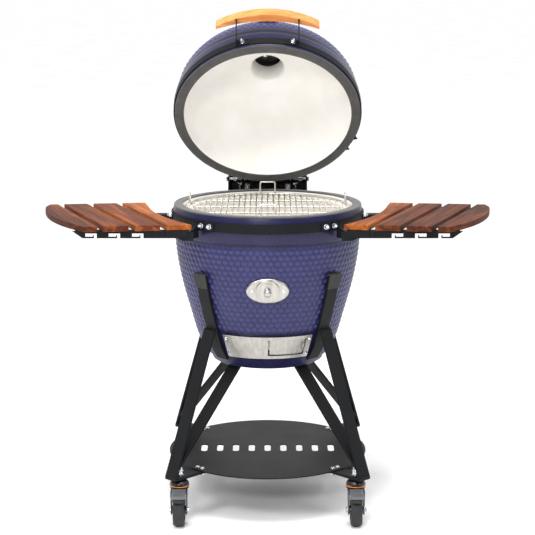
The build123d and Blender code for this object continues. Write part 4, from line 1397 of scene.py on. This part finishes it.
def make_top_vent():
    collar = [
        (42, 262.2), (61, 262.2), (62.2, 264), (62, 268), (60.4, 272), (59.6, 278.6), (58.2, 280),
        (44, 280), (42, 278.6),
    ]
    parts = [turned(in_mm(collar), 96, LID, cyclic=True)]
    pivot = JOINTS["top_vent_turn"]["pos_m"]
    local = UNLID @ Vector(pivot)
    post = [(0, 279), (4, 279), (4, 292.4), (3.4, 293.4), (0, 293.4)]
    parts.append(turned(in_mm(post), 24, LID @ Matrix.Translation((local.x, local.y, 0))))
    assembled("flue_collar", parts, ["iron"], "lid", ("chimney_collar",))
    dressed("vent_disc", ["iron"], "top_vent", 1.0)
    rib = [(34, 291.5), (37, 291.5), (38, 293), (37.4, 294.2), (34.6, 294.2), (33.6, 293)]
    bead = turned(in_mm(rib), 72, LID, cyclic=True)
    cap = [(0, 303.6), (4, 303.2), (6.4, 301.4), (7.2, 299), (6.6, 296.4), (5.4, 295), (0, 295)]
    knob = turned(in_mm(cap), 32, LID @ Matrix.Translation((-50 * MM, 0, 0)))
    assembled("vent_trim", [bead, knob], ["iron"], "top_vent")


# ---------------------------------------------------------------- stand and casters
def make_stand():
    for node, width in (
        ("cradle_straps", 0.9),
        ("outer_legs", 1.0),
        ("inner_braces", 0.9),
        ("foot_bars", 0.9),
        ("lower_plate", 0.5),
    ):
        dressed(node, ["powder"], "stand", width)
    dressed("cradle_pads", ["rubber"], "stand", 1.2, 3)
    dressed("shelf_brackets", ["powder"], "stand", 0.6)
    parts = []
    plate_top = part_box("lower_plate")[1].z
    bar_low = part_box("foot_bars")[0].z
    for points in islands("stand_fasteners"):
        middle = Vector(
            (
                (points[:, 0].min() + points[:, 0].max()) / 2,
                (points[:, 1].min() + points[:, 1].max()) / 2,
                0,
            )
        )
        if middle.length < 0.3:
            head = middle + Vector((0, 0, plate_top + 0.1 * MM))
            tail = middle + Vector((0, 0, bar_low - 0.1 * MM))
            parts.append(washer(3.3 * MM, 7 * MM, 1.0 * MM, aimed(head, (0, 0, 1))))
            dome = [(0, 4.4), (2.4, 4.2), (4.4, 3.2), (5.3, 1.6), (5.4, 0.9), (0, 0.9)]
            parts.append(turned(in_mm(dome), 24, aimed(head, (0, 0, 1))))
            parts += stud_and_nut(tail, (0, 0, -1), 10 * MM, 5 * MM, 1.5 * MM)
        else:
            foot = middle + Vector((0, 0, points[:, 2].min()))
            parts.append(washer(6.2 * MM, 11.5 * MM, 1.4 * MM, aimed(foot, (0, 0, 1))))
            parts.append(
                hexagon_nut(
                    18 * MM, 8.4 * MM, aimed(foot + Vector((0, 0, 1.3 * MM)), (0, 0, 1)), 1.4 * MM
                )
            )
            parts.append(threaded_rod(5.9 * MM, 24 * MM, aimed(foot, (0, 0, 1)), 1.75 * MM, 20))
    mesh = mesh_from(joined(parts), "stand_bolts")
    piece("stand_bolts", mesh, ["zinc"], "stand", ("stand_fasteners",))
    parts = []
    for points in islands("shelf_pivots"):
        middle = Vector(points.mean(0))
        low, high = points[:, 1].min(), points[:, 1].max()
        x = (points[:, 0].min() + points[:, 0].max()) / 2
        z = (points[:, 2].min() + points[:, 2].max()) / 2
        shank = [(0, 0), (5, 0), (5, (high - low) / MM), (0, (high - low) / MM)]
        parts.append(turned(in_mm(shank), 24, aimed((x, low, z), (0, 1, 0))))
        button = [(0, 4.3), (3.5, 4.0), (6.2, 2.8), (7.4, 1.2), (7.5, 0), (0, 0)]
        parts.append(turned(in_mm(button), 28, aimed((x, low + 4.1 * MM, z), (0, -1, 0))))
        parts.append(hexagon_nut(13 * MM, 5.0 * MM, aimed((x, high - 5.1 * MM, z), (0, 1, 0))))
    assembled("shelf_pivot_bolts", parts, ["powder"], "stand", ("shelf_pivots",))


def make_caster_tops():
    """Gloss domes with their kingpins, and the thin orange dust rings under them."""
    domes, stems, seals = [], [], []
    for corner, stem in STEMS.items():
        place = Matrix.Translation((stem.x, stem.y, JOINTS[f"swivel_turn_{corner}"]["pos_m"][2]))
        dome = [
            (0, 4.6), (26.2, 4.6), (27, 5.3), (27, 8.6), (26.2, 11.6), (24.2, 14.6), (21, 17.2),
            (17, 19.3), (13, 20.4), (12.2, 21), (12, 22.4), (11.4, 22.8), (0, 22.8),
        ]
        domes.append(turned(in_mm(dome), 72, place))
        stems.append(turned(in_mm([(0, -6), (5, -6), (5, 5), (0, 5)]), 24, place))
        ring = [(15, 1.8), (26.8, 1.8), (27.5, 2.3), (27.7, 3), (27.5, 3.7), (26.8, 4.2), (15, 4.2)]
        seals.append(turned(in_mm(ring), 72, place, cyclic=True))
    piece(
        "caster_domes",
        mesh_from(joined(domes), "caster_domes", 50),
        ["nylon"],
        "stand",
        ("caster_tops",),
    )
    assembled("caster_kingpins", stems, ["zinc"], "stand")
    assembled("caster_dust_rings", seals, ["seal"], "stand", ("caster_seals",))


def wheel_place(corner):
    """Turns a Z axis onto the axle of that corner's wheel."""
    spin = JOINTS[f"wheel_spin_{corner}"]
    return aimed(spin["pos_m"], spin["axis"])


def make_caster(corner):
    dressed(f"caster_fork_{corner}", ["nylon"], f"swivel_{corner}", 1.0, 3)
    place = wheel_place(corner)
    parts = [turned([(0, -24 * MM), (6 * MM, -24 * MM), (6 * MM, 24 * MM), (0, 24 * MM)], 24, place)]
    axle = Vector(JOINTS[f"wheel_spin_{corner}"]["pos_m"])
    for side in (-1, 1):
        parts += stud_and_nut(
            axle + Vector((side * 22.7 * MM, 0, 0)), (side, 0, 0), 13 * MM, 4.6 * MM, 0.6 * MM
        )
    assembled(
        f"caster_bolt_{corner}", parts, ["zinc"], f"swivel_{corner}", (f"caster_axle_{corner}",)
    )
    tread = [
        (35, -15.6), (39, -16), (41.4, -15.4), (43.4, -13.4), (44.5, -10.4), (44.9, -6.5), (45, -2),
        (45, 2),
    ]
    tread += [(44.9, 6.5), (44.5, 10.4), (43.4, 13.4), (41.4, 15.4), (39, 16), (35, 15.6)]
    rubber = turned(in_mm(tread), 96, place, cyclic=True)
    piece(
        f"caster_tread_{corner}",
        mesh_from(rubber, f"caster_tread_{corner}", 60),
        ["tyre"],
        f"wheel_{corner}",
        (f"caster_tyre_{corner}",),
    )
    hub = [
        (6.1, -18.6), (11.4, -18.8), (12, -18.2), (13, -11), (15, -9.6), (27, -8), (29.5, -9.6),
        (31, -15.4), (32, -16), (34.9, -16),
    ]
    outline = hub + [(r, -h) for r, h in reversed(hub)]
    parts = [turned(in_mm(outline), 72, place, cyclic=True)]
    for k in range(6):
        for side in (-1, 1):
            rib = bmesh.new()
            bmesh.ops.create_cube(rib, size=1)
            soften(rib, 0.12, 2)
            size = Matrix.Diagonal((19 * MM, 3.2 * MM, 5 * MM, 1))
            shift = Matrix.Translation((21.5 * MM, 0, side * 10.5 * MM))
            bmesh.ops.transform(
                rib,
                matrix=place @ Matrix.Rotation(k * math.pi / 3, 4, "Z") @ shift @ size,
                verts=rib.verts,
            )
            parts.append(rib)
    assembled(
        f"caster_wheel_{corner}",
        parts,
        ["nylon"],
        f"wheel_{corner}",
        (f"caster_hub_{corner}",),
    )


def make_pedal(corner):
    """A grey foot lever with moulded grip ribs over the wheel."""
    bm = cad_copy(f"brake_pedal_{corner}")
    soften(bm, 0.8 * MM, 2)
    parts = [bm]
    low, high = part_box(f"brake_pedal_{corner}")
    place = STEMS[corner]
    slope = math.atan2(8, 51)
    for k in range(6):
        run = (6 + k * 7.4) * MM
        rib = bmesh.new()
        bmesh.ops.create_cube(rib, size=1)
        soften(rib, 0.2, 2)
        size = Matrix.Diagonal((33 * MM, 2.8 * MM, 3.2 * MM, 1))
        lean = Matrix.Rotation(slope, 4, "X")
        spot = Matrix.Translation((place.x, high.y - run, high.z - run * math.tan(slope) + 0.6 * MM))
        bmesh.ops.transform(rib, matrix=spot @ lean @ size, verts=rib.verts)
        parts.append(rib)
    # Painted shade: a dark rubber block under the pedal that stands for the shadow the pedal casts onto the
    # tyre.
    shade_block = bmesh.new()
    bmesh.ops.create_cube(shade_block, size=1)
    soften(shade_block, 0.15, 3)
    under = (place.x, low.y + 19 * MM, low.z - 5.4 * MM)
    spot = Matrix.Translation(under) @ Matrix.Rotation(slope, 4, "X")
    bmesh.ops.transform(
        shade_block, matrix=spot @ Matrix.Diagonal((31 * MM, 26 * MM, 13 * MM, 1)), verts=shade_block.verts
    )
    mesh = mesh_from(shade_block, f"pedal_{corner}_shoe")
    piece(f"pedal_{corner}_shoe", mesh, ["rubber"], f"pedal_{corner}")
    assembled(
        f"pedal_{corner}_ribbed",
        parts,
        ["pedal"],
        f"pedal_{corner}",
        (f"brake_pedal_{corner}",),
    )


# ---------------------------------------------------------------- stage
def area_light(name, place, target, size, power, colour="#FFFFFF"):
    data = bpy.data.lights.new(name, "AREA")
    data.shape = "RECTANGLE"
    data.size, data.size_y = size
    data.energy = power
    data.color = linear(colour)
    made = bpy.data.objects.new(name, data)
    made.location = place
    made.rotation_euler = (Vector(target) - Vector(place)).to_track_quat("-Z", "Y").to_euler()
    bpy.context.scene.collection.objects.link(made)


def make_stage(light):
    """Pale floor, soft lights and the camera."""
    bm = bmesh.new()
    bmesh.ops.create_grid(bm, x_segments=8, y_segments=8, size=60)
    mesh = bpy.data.meshes.new("studio_floor")
    bm.to_mesh(mesh)
    bm.free()
    mesh.materials.append(paint("floor"))
    floor = bpy.data.objects.new("studio_floor", mesh)
    bpy.context.scene.collection.objects.link(floor)
    middle = (0, 0, 0.8)
    area_light("key_softbox", (-2.2, -3.0, 3.6), middle, (1.0, 1.0), light.key_power)
    area_light("fill_softbox", (2.7, -2.7, 2.9), middle, (0.9, 1.2), light.fill_power)
    area_light("top_softbox", (0, -1.2, 4.0), middle, (1.6, 1.2), light.top_power)
    area_light("front_softbox", (-0.7, -4.2, 2.3), (0, 0, 0.6), (0.7, 0.5), light.front_power)
    world = bpy.data.worlds.new("studio_air")
    world.use_nodes = True
    tree = world.node_tree
    sky = tree.nodes["Background"]
    way = add(tree, "ShaderNodeTexCoord").outputs["Generated"]
    parts = add(tree, "ShaderNodeSeparateXYZ", {"Vector": way}).outputs
    raised = add(tree, "ShaderNodeMath", {0: parts["Z"], 1: 1.5}, operation="MULTIPLY").outputs[0]
    lift = add(tree, "ShaderNodeMath", {0: parts["Y"], 1: raised}, operation="ADD").outputs[0]
    dark = (light.room_power,) * 3
    shade = ramp(tree, lift, [(0.0, dark), (0.12, dark), (0.5, (1, 1, 1))])
    tree.links.new(shade, sky.inputs["Color"])
    sky.inputs["Strength"].default_value = light.air_power
    bpy.context.scene.world = world
    data = bpy.data.cameras.new("studio_camera")
    data.lens = CAMERA_LENS
    data.sensor_width = 36
    data.clip_end = 60
    camera = bpy.data.objects.new("studio_camera", data)
    camera.location = CAMERA_PLACE
    camera.rotation_euler = (CAMERA_TILT, 0, 0)
    bpy.context.scene.collection.objects.link(camera)
    bpy.context.scene.camera = camera
    bpy.context.scene.view_settings.view_transform = "Standard"


# ---------------------------------------------------------------- properties
class GrillSizes(bpy.types.PropertyGroup):
    """Sizes of the surface work"""

    boss_pitch: bpy.props.FloatProperty(
        name="Boss pitch",
        description="Distance between the bosses in a row",
        default=18.3 * MM,
        unit="LENGTH",
        precision=4,
    )
    boss_height: bpy.props.FloatProperty(
        name="Boss height",
        description="How far each boss stands out",
        default=3.4 * MM,
        unit="LENGTH",
        precision=4,
    )
    shell_columns: bpy.props.IntProperty(
        name="Shell columns", description="Mesh columns round each ceramic shell", default=480, min=60
    )
    shell_step: bpy.props.FloatProperty(
        name="Shell step",
        description="Height of one mesh row on the shells",
        default=3.2 * MM,
        unit="LENGTH",
        precision=4,
    )
    board_round: bpy.props.FloatProperty(
        name="Board rounding",
        description="Radius on the edges of the shelf boards",
        default=2.6 * MM,
        unit="LENGTH",
        precision=4,
    )
    grip_round: bpy.props.FloatProperty(
        name="Grip rounding",
        description="Radius on the edges of the handle",
        default=4.0 * MM,
        unit="LENGTH",
        precision=4,
    )


class GrillLooks(bpy.types.PropertyGroup):
    """Colours of the finishes"""

    glaze: bpy.props.FloatVectorProperty(
        name="Glaze",
        description="Glaze on the walls",
        default=linear("#29294F"),
        subtype="COLOR",
        size=3,
        min=0,
        max=1,
    )
    # Darker glaze tone in the hollows: partly the thick glaze there, partly painted shade.
    glaze_thick_and_shaded: bpy.props.FloatVectorProperty(
        name="Glaze in hollows",
        description="Thick glaze between bosses",
        default=linear("#1B1B3A"),
        subtype="COLOR",
        size=3,
        min=0,
        max=1,
    )
    # Paler glaze tone on the bosses: partly the thin glaze there, partly a painted highlight.
    glaze_thin_and_highlit: bpy.props.FloatVectorProperty(
        name="Glaze on bosses",
        description="Thin glaze over the bosses",
        default=linear("#343464"),
        subtype="COLOR",
        size=3,
        min=0,
        max=1,
    )
    felt: bpy.props.FloatVectorProperty(
        name="Felt",
        description="Felt rings",
        default=linear("#3B3937"),
        subtype="COLOR",
        size=3,
        min=0,
        max=1,
    )
    powder: bpy.props.FloatVectorProperty(
        name="Powder coat",
        description="Coated steel",
        default=linear("#111214"),
        subtype="COLOR",
        size=3,
        min=0,
        max=1,
    )


class GrillLight(bpy.types.PropertyGroup):
    """Powers of the studio lights"""

    key_power: bpy.props.FloatProperty(name="Key", description="Key softbox", default=80.0, unit="POWER")
    fill_power: bpy.props.FloatProperty(
        name="Fill", description="Fill softbox", default=28.0, unit="POWER"
    )
    top_power: bpy.props.FloatProperty(
        name="Top", description="Overhead softbox", default=90.0, unit="POWER"
    )
    front_power: bpy.props.FloatProperty(
        name="Front", description="Softbox beside the camera", default=62.0, unit="POWER"
    )
    air_power: bpy.props.FloatProperty(
        name="Air", description="Brightness of the white surroundings", default=1.25
    )
    room_power: bpy.props.FloatProperty(
        name="Room", description="Brightness of the dark side", default=0.1
    )


# ---------------------------------------------------------------- operators
class GRILL_OT_stage(bpy.types.Operator):
    """Adds the floor, the lights and the camera"""

    bl_idname = "grill.stage"
    bl_label = "Stage"

    def execute(self, context):
        make_stage(context.scene.grill_light)
        return {"FINISHED"}


class GRILL_OT_bowl(bpy.types.Operator):
    """Makes the glazed bowl"""

    bl_idname = "grill.bowl"
    bl_label = "Bowl"

    def execute(self, context):
        make_bowl(context.scene.grill_sizes)
        return {"FINISHED"}


class GRILL_OT_lid(bpy.types.Operator):
    """Makes the glazed lid"""

    bl_idname = "grill.lid"
    bl_label = "Lid"

    def execute(self, context):
        make_lid(context.scene.grill_sizes)
        return {"FINISHED"}


class GRILL_OT_felts(bpy.types.Operator):
    """Makes the two felt rings"""

    bl_idname = "grill.felts"
    bl_label = "Felt rings"

    def execute(self, context):
        thick = 3.5 * MM
        felt_ring("bowl_felt", Matrix.Translation((0, 0, RIM_Z - thick)), "base_gasket", "stand", True)
        felt_ring("lid_felt", LID @ Matrix.Translation((0, 0, thick)), "lid_gasket", "lid", False)
        return {"FINISHED"}


class GRILL_OT_bands(bpy.types.Operator):
    """Makes the bands and all bolts of the bowl and the lid"""

    bl_idname = "grill.bands"
    bl_label = "Bands and bolts"

    def execute(self, context):
        make_bands()
        make_bowl_fasteners()
        make_lid_bolts()
        return {"FINISHED"}


class GRILL_OT_hinge(bpy.types.Operator):
    """Makes the hinge plates, the pin and the springs"""

    bl_idname = "grill.hinge"
    bl_label = "Hinge"

    def execute(self, context):
        make_hinge()
        return {"FINISHED"}


class GRILL_OT_handle(bpy.types.Operator):
    """Makes the wooden grip and its brackets"""

    bl_idname = "grill.handle"
    bl_label = "Handle"

    def execute(self, context):
        make_handle(context.scene.grill_sizes)
        return {"FINISHED"}


class GRILL_OT_front(bpy.types.Operator):
    """Makes the draft door and the oval port"""

    bl_idname = "grill.front"
    bl_label = "Draft door and port"

    def execute(self, context):
        make_vent()
        make_port()
        return {"FINISHED"}


class GRILL_OT_fire(bpy.types.Operator):
    """Makes the fire box, the fire ring and both grates"""

    bl_idname = "grill.fire"
    bl_label = "Fire parts and grates"

    def execute(self, context):
        make_fire_parts()
        make_grate()
        return {"FINISHED"}


class GRILL_OT_lid_fittings(bpy.types.Operator):
    """Makes the thermometer and the top vent"""

    bl_idname = "grill.lid_fittings"
    bl_label = "Thermometer and top vent"

    def execute(self, context):
        make_thermometer()
        make_top_vent()
        return {"FINISHED"}


class GRILL_OT_stand(bpy.types.Operator):
    """Makes the stand, its pads and bolts, and the shelf brackets"""

    bl_idname = "grill.stand"
    bl_label = "Stand"

    def execute(self, context):
        make_stand()
        return {"FINISHED"}


class GRILL_OT_casters(bpy.types.Operator):
    """Makes the casters"""

    bl_idname = "grill.casters"
    bl_label = "Casters"

    def execute(self, context):
        make_caster_tops()
        for corner in CORNERS:
            make_caster(corner)
        for corner in ("fl", "fr"):
            make_pedal(corner)
        return {"FINISHED"}


class GRILL_OT_shelves(bpy.types.Operator):
    """Makes both side shelves"""

    bl_idname = "grill.shelves"
    bl_label = "Side shelves"

    def execute(self, context):
        for side in ("right", "left"):
            make_shelf(side, context.scene.grill_sizes)
        return {"FINISHED"}


OPERATORS = (
    GRILL_OT_stage,
    GRILL_OT_bowl,
    GRILL_OT_lid,
    GRILL_OT_felts,
    GRILL_OT_bands,
    GRILL_OT_hinge,
    GRILL_OT_handle,
    GRILL_OT_front,
    GRILL_OT_fire,
    GRILL_OT_lid_fittings,
    GRILL_OT_stand,
    GRILL_OT_casters,
    GRILL_OT_shelves,
)


class GRILL_PT_panel(bpy.types.Panel):
    """Lists the grill's pieces in the sidebar"""

    bl_label = "Grill"
    bl_idname = "GRILL_PT_panel"
    bl_space_type = "VIEW_3D"
    bl_region_type = "UI"
    bl_category = "Grill"

    def draw(self, context):
        for group in (context.scene.grill_sizes, context.scene.grill_looks, context.scene.grill_light):
            box = self.layout.box()
            for key in group.__annotations__:
                box.prop(group, key)
        for each in OPERATORS:
            self.layout.operator(each.bl_idname)


CLASSES = (GrillSizes, GrillLooks, GrillLight, *OPERATORS, GRILL_PT_panel)


def register():
    for each in CLASSES:
        bpy.utils.register_class(each)
    bpy.types.Scene.grill_sizes = bpy.props.PointerProperty(type=GrillSizes)
    bpy.types.Scene.grill_looks = bpy.props.PointerProperty(type=GrillLooks)
    bpy.types.Scene.grill_light = bpy.props.PointerProperty(type=GrillLight)


def unregister():
    del bpy.types.Scene.grill_light
    del bpy.types.Scene.grill_looks
    del bpy.types.Scene.grill_sizes
    for each in reversed(CLASSES):
        bpy.utils.unregister_class(each)


def main():
    register()
    for each in OPERATORS:
        group, name = each.bl_idname.split(".")
        getattr(getattr(bpy.ops, group), name)()


if __name__ == "__main__":
    main()
